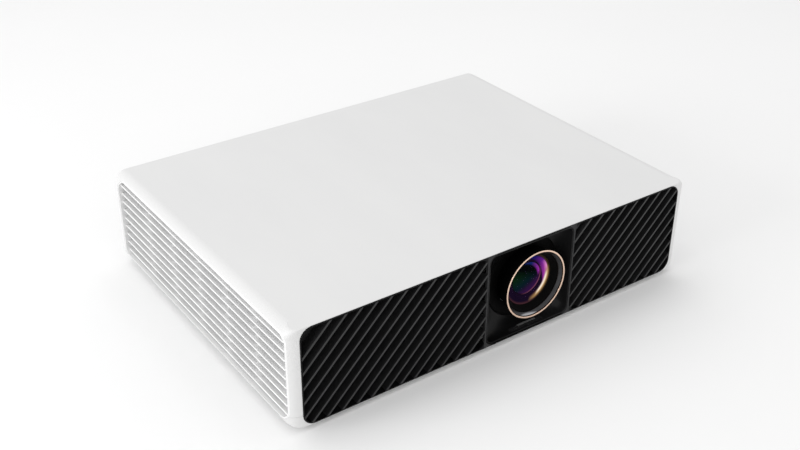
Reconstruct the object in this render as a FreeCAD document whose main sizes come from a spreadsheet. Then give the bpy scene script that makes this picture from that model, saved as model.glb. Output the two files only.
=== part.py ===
import FreeCAD, Part
import Sketcher
import math
import os
import re

# Home projector: a low white case with louvred sides and a black front panel that
# holds two slatted speaker grilles and a deep lens bezel.  The origin is on the
# table under the middle of the case.  +Z is up and the lens looks along -Y.

Vector = FreeCAD.Vector
Rotation = FreeCAD.Rotation
Placement = FreeCAD.Placement

doc = FreeCAD.newDocument("home_projector")

# ---------------------------------------------------------------------------
# Driving dimensions, in millimetres and degrees
# ---------------------------------------------------------------------------
DIMENSIONS = {
    # case
    "case_width": 380.0,
    "case_depth": 280.0,
    "case_height": 82.0,
    "foot_height": 4.0,
    "wall": 2.5,
    "long_edge_radius": 12.0,
    "front_corner_radius": 13.0,
    "rear_corner_radius": 9.0,
    "top_front_radius": 0.8,
    "top_rear_radius": 3.0,
    "parting_height": 10.3,
    "parting_gap": 0.2,
    "tongue_height": 2.5,
    "tongue_wall": 1.2,
    "boss_rise": 3.0,
    "pilot_depth": 12.0,
    "head_well_depth": 2.6,
    "tray_vent_first": -75.0,
    "tray_vent_pitch": 8.0,
    "tray_vent_width": 3.0,
    "tray_vent_front": 10.0,
    "tray_vent_back": 50.0,
    # side louvres
    "louvre_front": 135.2,
    "louvre_rear": 128.5,
    "louvre_bottom": 8.9,
    "louvre_top": 77.4,
    "louvre_border": 1.3,
    "louvre_depth": 8.5,
    "louvre_inset": 0.25,
    "louvre_radius": 5.0,
    "louvre_pitch": 7.542,
    "louvre_first": 12.6,
    "louvre_count": 9.0,
    "louvre_blade": 1.4,
    "blade_inset": 2.8,
    "louvre_post_width": 2.4,
    "louvre_post_depth": 1.5,
    "filter_thickness": 2.0,
    "filter_gap": 0.2,
    "filter_front": 126.0,
    "filter_rear": 122.0,
    "filter_bottom": 20.0,
    "filter_top": 76.0,
    # front panel
    "rim": 0.6,
    "panel_half_width": 177.7,
    "panel_radius": 9.6,
    "panel_border": 0.9,
    "panel_proud": 0.4,
    "panel_depth": 10.4,
    "divider_left": -19.0,
    "divider_right": 64.75,
    "divider_width": 1.4,
    "divider_depth": 2.5,
    "opening_radius": 6.5,
    # speaker grilles
    "slat_pitch": 12.36,
    "slat_first": 234.0,
    "slat_thickness": 1.6,
    "slat_depth": 8.8,
    "slat_length": 196.8,
    "slat_ring_recess": 6.3,
    "slat_ring_inset": 0.9,
    "mesh_thickness": 0.5,
    # lens
    "lens_x": 28.7,
    "lens_height": 40.15,
    "bezel_depth": 16.0,
    "bezel_floor_radius": 34.8,
    "bezel_wall": 0.8,
    "bezel_gap": 0.3,
    "bezel_lip": 0.15,
    "bezel_floor_thickness": 1.2,
    "bezel_hole_radius": 25.0,
    "ring_outer": 28.9,
    "ring_inner": 27.3,
    "ring_length": 0.9,
    "ring_proud": 0.6,
    "ring_chamfer": 0.5,
    "cone_inner": 25.3,
    "cone_depth": 2.6,
    "cone_wall": 0.8,
    "throat_radius": 21.4,
    "throat_depth": 8.2,
    "hood_rear_radius": 24.7,
    "hood_length": 18.0,
    "hood_shoulder": 4.5,
    "hood_neck": 5.2,
    "hood_waist": 8.0,
    "hood_flange": 9.5,
    "slide_bore": 22.28,
    "carrier_radius": 22.2,
    "carrier_end": 44.0,
    "carrier_seat": 33.0,
    "carrier_bore": 14.5,
    "glass_clearance": 0.05,
    "element_radius": 20.7,
    "front_glass_place": 5.2,
    "front_glass_thickness": 11.0,
    "front_glass_near_curve": 52.0,
    "front_glass_far_curve": 120.0,
    "second_glass_place": 24.0,
    "second_glass_thickness": 8.0,
    "second_glass_radius": 16.0,
    "second_glass_near_curve": 60.0,
    "second_glass_far_curve": 45.0,
    "rear_glass_place": 66.0,
    "rear_glass_thickness": 9.0,
    "rear_glass_radius": 14.0,
    "rear_glass_curve": 50.0,
    "barrel_radius": 25.5,
    "barrel_groove": 1.0,
    "barrel_groove_front": 27.0,
    "barrel_groove_back": 35.0,
    "barrel_end": 82.0,
    "flange_front": 56.1,
    "flange_thickness": 3.5,
    "flange_left": -18.0,
    "flange_right": 66.0,
    "flange_bottom": 12.0,
    "flange_top": 78.0,
    "flange_radius": 4.0,
    "focus_teeth": 60.0,
    "pinion_teeth": 12.0,
    "tooth_module": 1.0,
    "gear_front": 28.0,
    "gear_width": 6.0,
    "gear_clearance": 0.06,
    "motor_radius": 6.0,
    "motor_front": 36.0,
    "motor_back": 56.0,
    "motor_boss_radius": 2.5,
    "motor_shaft_radius": 1.0,
    # light engine
    "engine_left": -6.0,
    "engine_right": 64.0,
    "engine_bottom": 12.0,
    "engine_top": 74.0,
    "engine_front": 82.2,
    "engine_back": 133.0,
    "engine_wall": 3.0,
    "engine_port_radius": 13.0,
    "prism_half": 12.0,
    "prism_front": 92.0,
    "prism_back": 117.0,
    "tunnel_centre": 105.0,
    "tunnel_half": 3.8,
    "tunnel_wall": 1.0,
    "tunnel_left": 43.0,
    "tunnel_right": 70.0,
    "tunnel_port": 5.0,
    "chip_half_width": 11.0,
    "chip_half_height": 8.0,
    "chip_front": 127.0,
    "chip_window_width": 15.0,
    "chip_window_height": 11.0,
    "chip_board_half_width": 28.0,
    "chip_board_half_height": 24.0,
    "chip_board_front": 133.3,
    "chip_sink_half": 22.0,
    "chip_sink_front": 135.0,
    "chip_sink_base": 4.0,
    "chip_fin_length": 13.0,
    "chip_fin_thickness": 1.5,
    "chip_fin_count": 9.0,
    "wheel_place": 76.0,
    "wheel_depth": 127.0,
    "wheel_radius": 26.0,
    "wheel_thickness": 1.2,
    "wheel_hub_radius": 9.0,
    "wheel_hub_front": 2.0,
    "wheel_hub_back": 4.0,
    "wheel_shaft_radius": 1.5,
    "wheel_motor_radius": 11.0,
    "wheel_motor_length": 11.5,
    "laser_left": 98.0,
    "laser_right": 103.0,
    "laser_front": 85.0,
    "laser_back": 125.0,
    "laser_bottom": 24.0,
    "laser_top": 64.0,
    "laser_pitch": 8.0,
    "laser_first_depth": 93.0,
    "laser_diode_radius": 2.8,
    "laser_diode_length": 2.5,
    "sink_left": 103.1,
    "sink_base": 11.9,
    "sink_right": 135.0,
    "sink_front": 80.0,
    "sink_back": 130.0,
    "sink_bottom": 18.0,
    "sink_top": 70.0,
    "sink_fin": 1.2,
    "sink_fin_count": 13.0,
    "pipe_x": 109.0,
    "pipe_lowest": 30.0,
    "pipe_pitch": 14.0,
    "pipe_radius": 3.0,
    "pipe_front": 82.0,
    "pipe_back": 205.0,
    "radiator_left": 101.0,
    "radiator_right": 160.0,
    "radiator_front": 142.0,
    "radiator_pitch": 4.0,
    "radiator_fin": 0.8,
    "radiator_bottom": 16.0,
    "radiator_top": 74.0,
    # feet
    "foot_x": 150.0,
    "foot_front_y": 112.0,
    "foot_rear_y": 112.0,
    "foot_radius": 9.0,
    "foot_well_depth": 1.0,
    "pad_thickness": 2.4,
    "pad_socket_radius": 3.0,
    "pad_socket_floor": 1.4,
    "foot_chamfer": 0.8,
    "stud_radius": 4.0,
    "stud_wheel_height": 1.3,
    "stud_top": 13.2,
    "stud_boss_wall": 5.0,
    "stud_boss_height": 14.0,
    # rear
    "rear_half_width": 152.0,
    "rear_bottom": 14.0,
    "rear_top": 66.0,
    "rear_recess": 1.0,
    "rear_plate": 3.0,
    "board_level": 23.0,
    "board_thickness": 1.6,
    "main_board_left": -62.0,
    "main_board_right": 96.0,
    "main_board_front": 24.0,
    "main_board_back": 134.0,
    "power_board_left": -158.0,
    "power_board_right": -72.0,
    "power_board_front": 40.0,
    "power_board_back": 122.0,
    "power_board_level": 14.0,
    "socket_wall": 0.5,
    "hdmi_width": 15.0,
    "hdmi_height": 5.8,
    "hdmi_depth": 12.0,
    "usb_width": 14.0,
    "usb_height": 6.4,
    "usb_depth": 15.0,
    "usb_x": 14.0,
    "lan_x": 40.0,
    "lan_width": 16.0,
    "lan_height": 13.4,
    "lan_depth": 18.0,
    "lan_wall": 1.4,
    "lan_lift": 0.3,
    "audio_x": 64.0,
    "audio_half": 4.0,
    "audio_height": 7.2,
    "audio_depth": 12.0,
    "audio_bore_depth": 11.0,
    "audio_bore_radius": 1.8,
    "inlet_x": -118.0,
    "inlet_level": 36.0,
    "inlet_half_width": 12.5,
    "inlet_half_height": 8.0,
    "inlet_hollow_width": 9.0,
    "inlet_hollow_height": 5.0,
    "inlet_hollow_radius": 4.4,
    "inlet_depth": 20.0,
    "inlet_hollow_depth": 14.0,
    "pin_offset": 4.3,
    "pin_radius": 1.15,
    "button_x": 104.0,
    "button_level": 36.0,
    "button_radius": 6.0,
    "button_skirt": 7.4,
    "window_x": 132.0,
    "window_half_width": 8.0,
    "window_half_height": 5.0,
    "rear_vent_first": -140.0,
    "rear_vent_width": 4.0,
    "rear_vent_bottom": 52.0,
    "rear_vent_top": 64.0,
    "rear_vent_span": 276.0,
    "rear_vent_count": 24.0,
    # cooling
    "fan_size": 70.0,
    "fan_depth": 15.0,
    "fan_bore": 32.5,
    "fan_rotor_radius": 31.5,
    "fan_hub_radius": 14.0,
    "fan_face": 179.0,
    "fan_height": 41.5,
    "fan_left_y": -5.0,
    "fan_right_y": 35.0,
    "fan_leg": 2.0,
    "fan_leg_width": 3.0,
    "fan_screw_inset": 4.0,
    "fan_screw_radius": 2.1,
    "fan_hub_half": 5.5,
    "fan_blade_gap": 0.8,
    # speakers
    "speaker_left_x": -98.0,
    "speaker_right_x": 121.0,
    "speaker_height": 41.0,
    "speaker_radius": 33.0,
    "speaker_face": 13.0,
    "speaker_depth": 24.0,
    # fasteners
    "post_x": 172.0,
    "post_front_y": 118.0,
    "post_rear_y": 126.0,
    "post_radius": 4.0,
    "screw_radius": 1.5,
    "screw_head_radius": 2.9,
    "screw_length": 15.0,
    "screw_recess_radius": 1.2,
    "back_post_x": 67.0,
    "back_post_y": 126.0,
    "side_post_x": 101.0,
    "side_post_y": 116.0,
    "ceiling_spacing_x": 200.0,
    "ceiling_spacing_y": 140.0,
    "insert_radius": 3.0,
    "insert_bore": 1.65,
    "insert_wall": 2.0,
    "insert_depth": 7.0,
    "tripod_y": 69.0,
    "tripod_boss_radius": 8.0,
    "tripod_well_radius": 5.5,
    "tripod_depth": 8.0,
    "tripod_bore": 2.6,
}

sheet = doc.addObject("Spreadsheet::Sheet", "dims")
for row, (alias, value) in enumerate(DIMENSIONS.items(), start=1):
    sheet.set("A%d" % row, alias)
    sheet.set("B%d" % row, str(value))
    sheet.setAlias("B%d" % row, alias)
doc.recompute()


def formula(text):
    """Turn the sheet's aliases in an expression into references to the sheet."""
    def reference(match):
        word = match.group(0)
        return "dims." + word if word in DIMENSIONS else word
    return re.sub(r"[a-z_]+", reference, str(text))


def size(text):
    """Value of an expression in the sheet's aliases, in millimetres."""
    value = sheet.evalExpression(formula(text))
    return float(value)


def bind(thing, property_name, text):
    thing.setExpression(property_name, formula(text))


# ---------------------------------------------------------------------------
# Solids whose sizes and places are bound to the sheet
# ---------------------------------------------------------------------------
AXIS_ROTATION = {
    "x": Rotation(Vector(0, 1, 0), 90),
    "y": Rotation(Vector(1, 0, 0), -90),
    "z": Rotation(),
}


def put(thing, x, y, z):
    bind(thing, ".Placement.Base.x", x)
    bind(thing, ".Placement.Base.y", y)
    bind(thing, ".Placement.Base.z", z)
    return thing


def block(name, x, y, z):
    """Box between the two expressions given for each axis."""
    box = doc.addObject("Part::Box", name)
    for side, (low, high) in (("Length", x), ("Width", y), ("Height", z)):
        bind(box, side, "(%s)-(%s)" % (high, low))
    return put(box, x[0], y[0], z[0])


def along(axis, across, start):
    """Point whose place along the axis is start and whose other two are across."""
    first, second = across
    return {"x": (start, first, second), "y": (first, start, second), "z": (first, second, start)}[axis]


def rod(name, axis, across, span, radius):
    """Cylinder along an axis, from the first to the second value of span."""
    cylinder = doc.addObject("Part::Cylinder", name)
    cylinder.Placement = Placement(Vector(), AXIS_ROTATION[axis])
    bind(cylinder, "Radius", radius)
    bind(cylinder, "Height", "(%s)-(%s)" % (span[1], span[0]))
    return put(cylinder, *along(axis, across, span[0]))


def ball(name, centre, radius):
    sphere = doc.addObject("Part::Sphere", name)
    bind(sphere, "Radius", radius)
    return put(sphere, *centre)


def group(name, things):
    compound = doc.addObject("Part::Compound", name)
    compound.Links = things
    return compound


def cut(name, base, tools):
    result = doc.addObject("Part::Cut", name)
    result.Base = base
    result.Tool = tools[0] if len(tools) == 1 else group(name + "_tools", tools)
    return result


def fuse(name, things):
    result = doc.addObject("Part::MultiFuse", name)
    result.Shapes = things
    return result


def common(name, things):
    result = doc.addObject("Part::MultiCommon", name)
    result.Shapes = things
    return result


def round_edges(name, base, choose_radius):
    """Fillet a box; choose_radius(middle, direction) gives each edge's radius or 0."""
    doc.recompute()
    fillet = doc.addObject("Part::Fillet", name)
    fillet.Base = base
    edges = []
    for number, edge in enumerate(base.Shape.Edges, start=1):
        radius = choose_radius(edge.CenterOfMass, edge.tangentAt(edge.FirstParameter))
        if radius > 0:
            edges.append((number, radius, radius))
    fillet.Edges = edges
    return fillet


# ---------------------------------------------------------------------------
# Sketches and PartDesign features
# ---------------------------------------------------------------------------
LINE_START, LINE_END = 1, 2


def pin_point(sketch, geometry, vertex, u, v):
    """Hold one vertex at the expressions u and v from the sketch's origin."""
    for kind, text in (("DistanceX", u), ("DistanceY", v)):
        number = sketch.addConstraint(Sketcher.Constraint(kind, -1, 1, geometry, vertex, size(text)))
        bind(sketch, "Constraints[%d]" % number, text)


def draw_polygon(sketch, points):
    corners = [Vector(size(u), size(v), 0) for u, v in points]
    count = len(corners)
    first = len(sketch.Geometry)
    for index in range(count):
        sketch.addGeometry(Part.LineSegment(corners[index], corners[(index + 1) % count]), False)
    for index in range(count):
        after = first + (index + 1) % count
        sketch.addConstraint(Sketcher.Constraint("Coincident", first + index, LINE_END, after, LINE_START))
    for index, (u, v) in enumerate(points):
        pin_point(sketch, first + index, LINE_START, u, v)


def draw_circle(sketch, centre, radius):
    number = sketch.addGeometry(
        Part.Circle(Vector(size(centre[0]), size(centre[1]), 0), Vector(0, 0, 1), size(radius)), False)
    pin_point(sketch, number, 3, *centre)
    held = sketch.addConstraint(Sketcher.Constraint("Radius", number, size(radius)))
    bind(sketch, "Constraints[%d]" % held, radius)


def draw_rounded(sketch, u, v, radius):
    """Rectangle between two expressions each way, with equal round corners."""
    left, right, low, high, curve = [size(text) for text in (u[0], u[1], v[0], v[1], radius)]
    centres = [(left + curve, low + curve), (right - curve, low + curve),
               (right - curve, high - curve), (left + curve, high - curve)]
    sides = [((left + curve, low), (right - curve, low)), ((right, low + curve), (right, high - curve)),
             ((right - curve, high), (left + curve, high)), ((left, high - curve), (left, low + curve))]
    lines = []
    for start, end in sides:
        line = Part.LineSegment(Vector(start[0], start[1], 0), Vector(end[0], end[1], 0))
        lines.append(sketch.addGeometry(line, False))
    arcs = []
    for index, (cu, cv) in enumerate(centres):
        turn = math.pi + index * math.pi / 2
        circle = Part.Circle(Vector(cu, cv, 0), Vector(0, 0, 1), curve)
        arcs.append(sketch.addGeometry(Part.ArcOfCircle(circle, turn, turn + math.pi / 2), False))
    for index in range(4):
        sketch.addConstraint(Sketcher.Constraint("Tangent", arcs[index], LINE_END, lines[index], LINE_START))
        following = arcs[(index + 1) % 4]
        sketch.addConstraint(Sketcher.Constraint("Tangent", lines[index], LINE_END, following, LINE_START))
    for index in (1, 2, 3):
        sketch.addConstraint(Sketcher.Constraint("Equal", arcs[0], arcs[index]))
    held = sketch.addConstraint(Sketcher.Constraint("Radius", arcs[0], curve))
    bind(sketch, "Constraints[%d]" % held, radius)
    sketch.addConstraint(Sketcher.Constraint("Horizontal", lines[0]))
    sketch.addConstraint(Sketcher.Constraint("Vertical", lines[1]))
    for kind, line, text in (("DistanceY", 0, v[0]), ("DistanceX", 1, u[1]),
                             ("DistanceY", 2, v[1]), ("DistanceX", 3, u[0])):
        number = sketch.addConstraint(
            Sketcher.Constraint(kind, -1, 1, lines[line], LINE_START, size(text)))
        bind(sketch, "Constraints[%d]" % number, text)


def draw(sketch, outlines):
    """Draw each outline: a list of points, a circle or a rounded rectangle."""
    for outline in outlines:
        if outline[0] == "circle":
            draw_circle(sketch, outline[1], outline[2])
        elif outline[0] == "rounded":
            draw_rounded(sketch, outline[1], outline[2], outline[3])
        else:
            draw_polygon(sketch, outline[1])


SKETCH_ROTATION = {
    "x": Rotation(Vector(0, 1, 0), Vector(0, 0, 1), Vector(1, 0, 0), "ZXY"),
    "y": Rotation(Vector(1, 0, 0), 90),
    "z": Rotation(),
}


def prism(name, axis, outlines, span):
    """Straight extrusion of outlines along an axis, from span[0] to span[1]."""
    sketch = doc.addObject("Sketcher::SketchObject", name + "_outline")
    sketch.Placement = Placement(Vector(), SKETCH_ROTATION[axis])
    draw(sketch, outlines)
    solid = doc.addObject("Part::Extrusion", name)
    solid.Base = sketch
    solid.DirMode = "Custom"
    solid.Dir = {"x": Vector(1, 0, 0), "y": Vector(0, 1, 0), "z": Vector(0, 0, 1)}[axis]
    solid.Solid = True
    bind(solid, "LengthFwd", "(%s)-(%s)" % (span[1], span[0]))
    bind(sketch, ".Placement.Base." + axis, span[0])
    return solid


ROLE = {"x": "YZ_Plane", "y": "XZ_Plane", "z": "XY_Plane"}


def new_body(name):
    return doc.addObject("PartDesign::Body", name)


def plane_of(body, axis):
    return [plane for plane in body.Origin.OriginFeatures if plane.Role == ROLE[axis]][0]


def rectangle(u, v):
    """Outline of a plain rectangle between two expressions each way."""
    return ("polygon", [(u[0], v[0]), (u[1], v[0]), (u[1], v[1]), (u[0], v[1])])


def body_sketch(body, name, axis, outlines, offset="0"):
    """Sketch on one of the body's own planes, moved along the plane's normal."""
    sketch = body.newObject("Sketcher::SketchObject", name)
    sketch.AttachmentSupport = [(plane_of(body, axis), "")]
    sketch.MapMode = "FlatFace"
    bind(sketch, ".AttachmentOffset.Base.z", offset)
    draw(sketch, outlines)
    return sketch


def pad(body, name, axis, outlines, span):
    """Add an extrusion from span[0] to span[1]; the XZ plane's normal is -Y."""
    offset = "-(%s)" % span[1] if axis == "y" else span[0]
    feature = body.newObject("PartDesign::Pad", name)
    feature.Profile = body_sketch(body, name + "_outline", axis, outlines, offset)
    bind(feature, "Length", "(%s)-(%s)" % (span[1], span[0]))
    return feature


def pocket(body, name, axis, outlines, span):
    """Remove an extrusion from span[0] to span[1]."""
    offset = "-(%s)" % span[0] if axis == "y" else span[1]
    feature = body.newObject("PartDesign::Pocket", name)
    feature.Profile = body_sketch(body, name + "_outline", axis, outlines, offset)
    bind(feature, "Length", "(%s)-(%s)" % (span[1], span[0]))
    return feature


def turned(name, points, axis, across, start, mirror=False):
    """Revolved body: points are (radius, place along the axis), start is the axis's zero."""
    body = new_body(name)
    feature = body.newObject("PartDesign::Revolution", name + "_turning")
    profile = body_sketch(body, name + "_profile", "y", [("polygon", points)])
    feature.Profile = profile
    feature.ReferenceAxis = (profile, ["V_Axis"])
    feature.Angle = 360.0
    rotation = AXIS_ROTATION[axis]
    if mirror:
        rotation = rotation * Rotation(Vector(1, 0, 0), 180)
    body.Placement = Placement(Vector(), rotation)
    return put(body, *along(axis, across, start))


def polar(body, feature, count, axis_role="Z_Axis"):
    """Repeat a feature of a body evenly about one of the body's axes."""
    pattern = body.newObject("PartDesign::PolarPattern", feature.Name + "_pattern")
    pattern.Originals = [feature]
    axis = [line for line in body.Origin.OriginFeatures if line.Role == axis_role][0]
    pattern.Axis = (axis, [""])
    pattern.Angle = 360.0
    pattern.Occurrences = count
    body.Tip = pattern
    return pattern


def linear(body, feature, axis_role, length, count):
    """Repeat a feature of a body evenly along one of the body's axes."""
    pattern = body.newObject("PartDesign::LinearPattern", feature.Name + "_pattern")
    pattern.Originals = [feature]
    axis = [line for line in body.Origin.OriginFeatures if line.Role == axis_role][0]
    pattern.Direction = (axis, [""])
    bind(pattern, "Length", length)
    pattern.Occurrences = count
    body.Tip = pattern
    return pattern


# ---------------------------------------------------------------------------
# Places used by many sub-parts
# ---------------------------------------------------------------------------
SIDE = "(case_width/2)"
FRONT = "(-case_depth/2)"
REAR = "(case_depth/2)"
BOTTOM = "foot_height"
TOP = "(foot_height+case_height)"
FLOOR = "(foot_height+wall)"
CEILING = "(foot_height+case_height-wall)"
PARTING = "(foot_height+parting_height)"
LENS_Z = "(foot_height+lens_height)"
LENS = ("lens_x", LENS_Z)
PANEL_BACK = "(-case_depth/2+panel_depth-panel_proud)"
SLEEVE_END = "(-case_depth/2+panel_depth-panel_proud+0.1)"
OUTSIDE = "(case_width/2+5)"
FRONT_OUTSIDE = "(-case_depth/2-5)"
REAR_OUTSIDE = "(case_depth/2+5)"
FIT = 0.1


def behind(depth):
    """Place on Y at a depth behind the case's front plane."""
    return "(-case_depth/2+%s)" % depth


# ---------------------------------------------------------------------------
# Case: upper shell and bottom tray share one rounded outer form
# ---------------------------------------------------------------------------
def rounded_case(name, inset):
    """The case's outer form, moved inwards by inset on every face."""
    box = block(name + "_block", ("-%s+%s" % (SIDE, inset), "%s-%s" % (SIDE, inset)),
                ("%s+%s" % (FRONT, inset), "%s-%s" % (REAR, inset)),
                ("%s+%s" % (BOTTOM, inset), "%s-%s" % (TOP, inset)))
    middle = size("foot_height+case_height/2")
    shrink = size(inset)

    def radius(centre, direction):
        if abs(direction.y) > 0.9:
            return size("long_edge_radius") - shrink
        if abs(direction.z) > 0.9:
            return size("front_corner_radius" if centre.y < 0 else "rear_corner_radius") - shrink
        if centre.y > 0 and centre.z > middle:
            return size("top_rear_radius") - shrink
        return size("top_front_radius") - min(shrink, 0.2)

    return round_edges(name, box, radius)


case_form = rounded_case("case_form", "0")
inset_form = rounded_case("inset_form", "louvre_inset")

cavity_block = block("cavity_block", ("-%s+wall" % SIDE, "%s-wall" % SIDE),
                     (SLEEVE_END, "%s-wall" % REAR), (FLOOR, CEILING))


def cavity_radius(centre, direction):
    if abs(direction.y) > 0.9:
        return size("long_edge_radius-wall")
    if abs(direction.z) > 0.9 and centre.y > 0:
        return size("rear_corner_radius-wall")
    return 0


cavity = round_edges("cavity", cavity_block, cavity_radius)

PANEL_U = ("-panel_half_width", "panel_half_width")
PANEL_V = ("%s+rim" % BOTTOM, "%s-rim" % TOP)


def grown(pair, amount):
    return ("%s-(%s)" % (pair[0], amount), "%s+(%s)" % (pair[1], amount))


panel_hole = prism("panel_hole", "y",
                   [("rounded", grown(PANEL_U, FIT), grown(PANEL_V, FIT), "panel_radius+%s" % FIT)],
                   (FRONT_OUTSIDE, SLEEVE_END))

LOUVRE_U = ("-louvre_front", "louvre_rear")
LOUVRE_V = ("foot_height+louvre_bottom", "foot_height+louvre_top")


def louvre_prism(name, side, margin, radius, start, end):
    """Block through a side wall with the louvre field's outline grown by margin."""
    span = ("-(%s)" % end, "-(%s)" % start) if side == "left" else (start, end)
    return prism(name, "x", [("rounded", grown(LOUVRE_U, margin), grown(LOUVRE_V, margin), radius)], span)


louvre_holes = [louvre_prism("louvre_hole_" + side, side, "louvre_border", "louvre_radius+louvre_border",
                             "%s-louvre_depth-%s" % (SIDE, FIT), OUTSIDE) for side in ("left", "right")]
rear_hole = block("rear_hole", ("-rear_half_width", "rear_half_width"), ("%s-wall-1" % REAR, REAR_OUTSIDE),
                  ("foot_height+rear_bottom", "foot_height+rear_top"))

above_parting = block("above_parting", ("-%s" % OUTSIDE, OUTSIDE), (FRONT_OUTSIDE, REAR_OUTSIDE),
                      ("%s+parting_gap/2" % PARTING, "%s+5" % TOP))
below_parting = block("below_parting", ("-%s" % OUTSIDE, OUTSIDE), (FRONT_OUTSIDE, REAR_OUTSIDE),
                      ("0", "%s-parting_gap/2" % PARTING))

POSTS = [("-post_x", "-post_front_y"), ("post_x", "-post_front_y"), ("-post_x", "post_rear_y"),
         ("post_x", "post_rear_y"), ("-back_post_x", "back_post_y"), ("side_post_x", "side_post_y")]
BOSS_TOP = "(foot_height+wall+boss_rise)"

shell_posts = [rod("shell_post_%d" % n, "z", place, ("%s+0.1" % BOSS_TOP, CEILING), "post_radius")
               for n, place in enumerate(POSTS)]
shell_pilots = [rod("shell_pilot_%d" % n, "z", place, (BOSS_TOP, "%s+pilot_depth" % BOSS_TOP),
                    "screw_radius")
                for n, place in enumerate(POSTS)]
upper_half = common("upper_half", [case_form, above_parting])
upper_hollow = cut("upper_hollow", upper_half, [cavity])
upper_with_posts = fuse("upper_with_posts", [upper_hollow] + shell_posts)
top_shell = cut("top_shell", upper_with_posts, [panel_hole, rear_hole] + louvre_holes + shell_pilots)

lower_half = common("lower_half", [case_form, below_parting])
lower_hollow = cut("lower_hollow", lower_half, [cavity])
tongue_outer = block("tongue_outer", ("-%s+wall+%s" % (SIDE, FIT), "%s-wall-%s" % (SIDE, FIT)),
                     (SLEEVE_END, "%s-wall-%s" % (REAR, FIT)), ("%s-3" % PARTING,
                                                                "%s+tongue_height" % PARTING))
tongue_inner = block("tongue_inner", ("-%s+wall+tongue_wall" % SIDE, "%s-wall-tongue_wall" % SIDE),
                     (FRONT_OUTSIDE, "%s-wall-tongue_wall" % REAR), ("0", TOP))


def tongue_radius(centre, direction):
    if abs(direction.z) > 0.9 and centre.y > 0:
        return size("rear_corner_radius-wall")
    return 0


tongue_round = round_edges("tongue_round", tongue_outer, tongue_radius)
tongue_in_cavity = common("tongue_in_cavity", [tongue_round, cavity])
tongue = cut("tongue", tongue_in_cavity, [tongue_inner])
tray_bosses = [rod("tray_boss_%d" % n, "z", place, ("%s-0.5" % FLOOR, BOSS_TOP), "post_radius")
               for n, place in enumerate(POSTS)]
tray_screw_holes = [rod("tray_screw_hole_%d" % n, "z", place, (BOTTOM, "%s+1" % BOSS_TOP), "screw_radius+0.2")
                    for n, place in enumerate(POSTS)]
tray_head_wells = [rod("tray_head_well_%d" % n, "z", place, ("0", "foot_height+head_well_depth"),
                       "screw_head_radius+0.3")
                   for n, place in enumerate(POSTS)]
FRONT_FEET = [("-foot_x", "-foot_front_y"), ("foot_x", "-foot_front_y")]
REAR_FEET = [("-foot_x", "foot_rear_y"), ("foot_x", "foot_rear_y")]
CEILING_HOLES = [(sx + "ceiling_spacing_x/2", sy + "ceiling_spacing_y/2") for sx in ("-",
                                                                                     "") for sy in ("-", "")]
TRIPOD = ("0", "-tripod_y")
insert_bosses = [rod("insert_boss_%d" % n, "z", place, ("%s-0.5" % FLOOR, "foot_height+insert_depth+1"),
                     "insert_radius+insert_wall")
                 for n, place in enumerate(CEILING_HOLES)]
insert_wells = [rod("insert_well_%d" % n, "z", place, ("0", "foot_height+insert_depth"), "insert_radius")
                for n, place in enumerate(CEILING_HOLES)]
tripod_boss = rod("tripod_boss", "z", TRIPOD, ("%s-0.5" % FLOOR, "foot_height+tripod_depth+1"),
                  "tripod_boss_radius")
tripod_well = rod("tripod_well", "z", TRIPOD, ("0", "foot_height+tripod_depth"), "tripod_well_radius")
stud_bosses = [rod("stud_boss_%d" % n, "z", place, ("%s-0.5" % FLOOR, "foot_height+stud_boss_height"),
                   "stud_radius+stud_boss_wall")
               for n, place in enumerate(FRONT_FEET)]
stud_wells = [rod("stud_well_%d" % n, "z", place, ("0", "foot_height+stud_boss_height+1"),
                  "stud_radius+gear_clearance")
              for n, place in enumerate(FRONT_FEET)]
foot_wells = [rod("foot_well_%d" % n, "z", place, ("0", "foot_height+foot_well_depth"), "foot_radius+0.3")
              for n, place in enumerate(REAR_FEET)]
VENT_COUNT = 14


def tray_vent(number):
    left = "tray_vent_first+%d*tray_vent_pitch" % number
    return block("vent_%d" % number, (left, "%s+tray_vent_width" % left), ("tray_vent_front",
                                                                           "tray_vent_back"),
                 ("0", "%s+1" % FLOOR))


vents = [tray_vent(number) for number in range(VENT_COUNT)]
tray_with_bosses = fuse("tray_with_bosses", [lower_hollow, tongue, tripod_boss] + tray_bosses + insert_bosses
                        + stud_bosses)
bottom_tray = cut("bottom_tray", tray_with_bosses, [panel_hole, tripod_well] + louvre_holes + tray_screw_holes
                  + tray_head_wells + insert_wells + stud_wells + foot_wells + vents)


# ---------------------------------------------------------------------------
# Side louvres: a border, nine level blades and five posts behind them
# ---------------------------------------------------------------------------
LOUVRE_POSTS = 5


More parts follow.
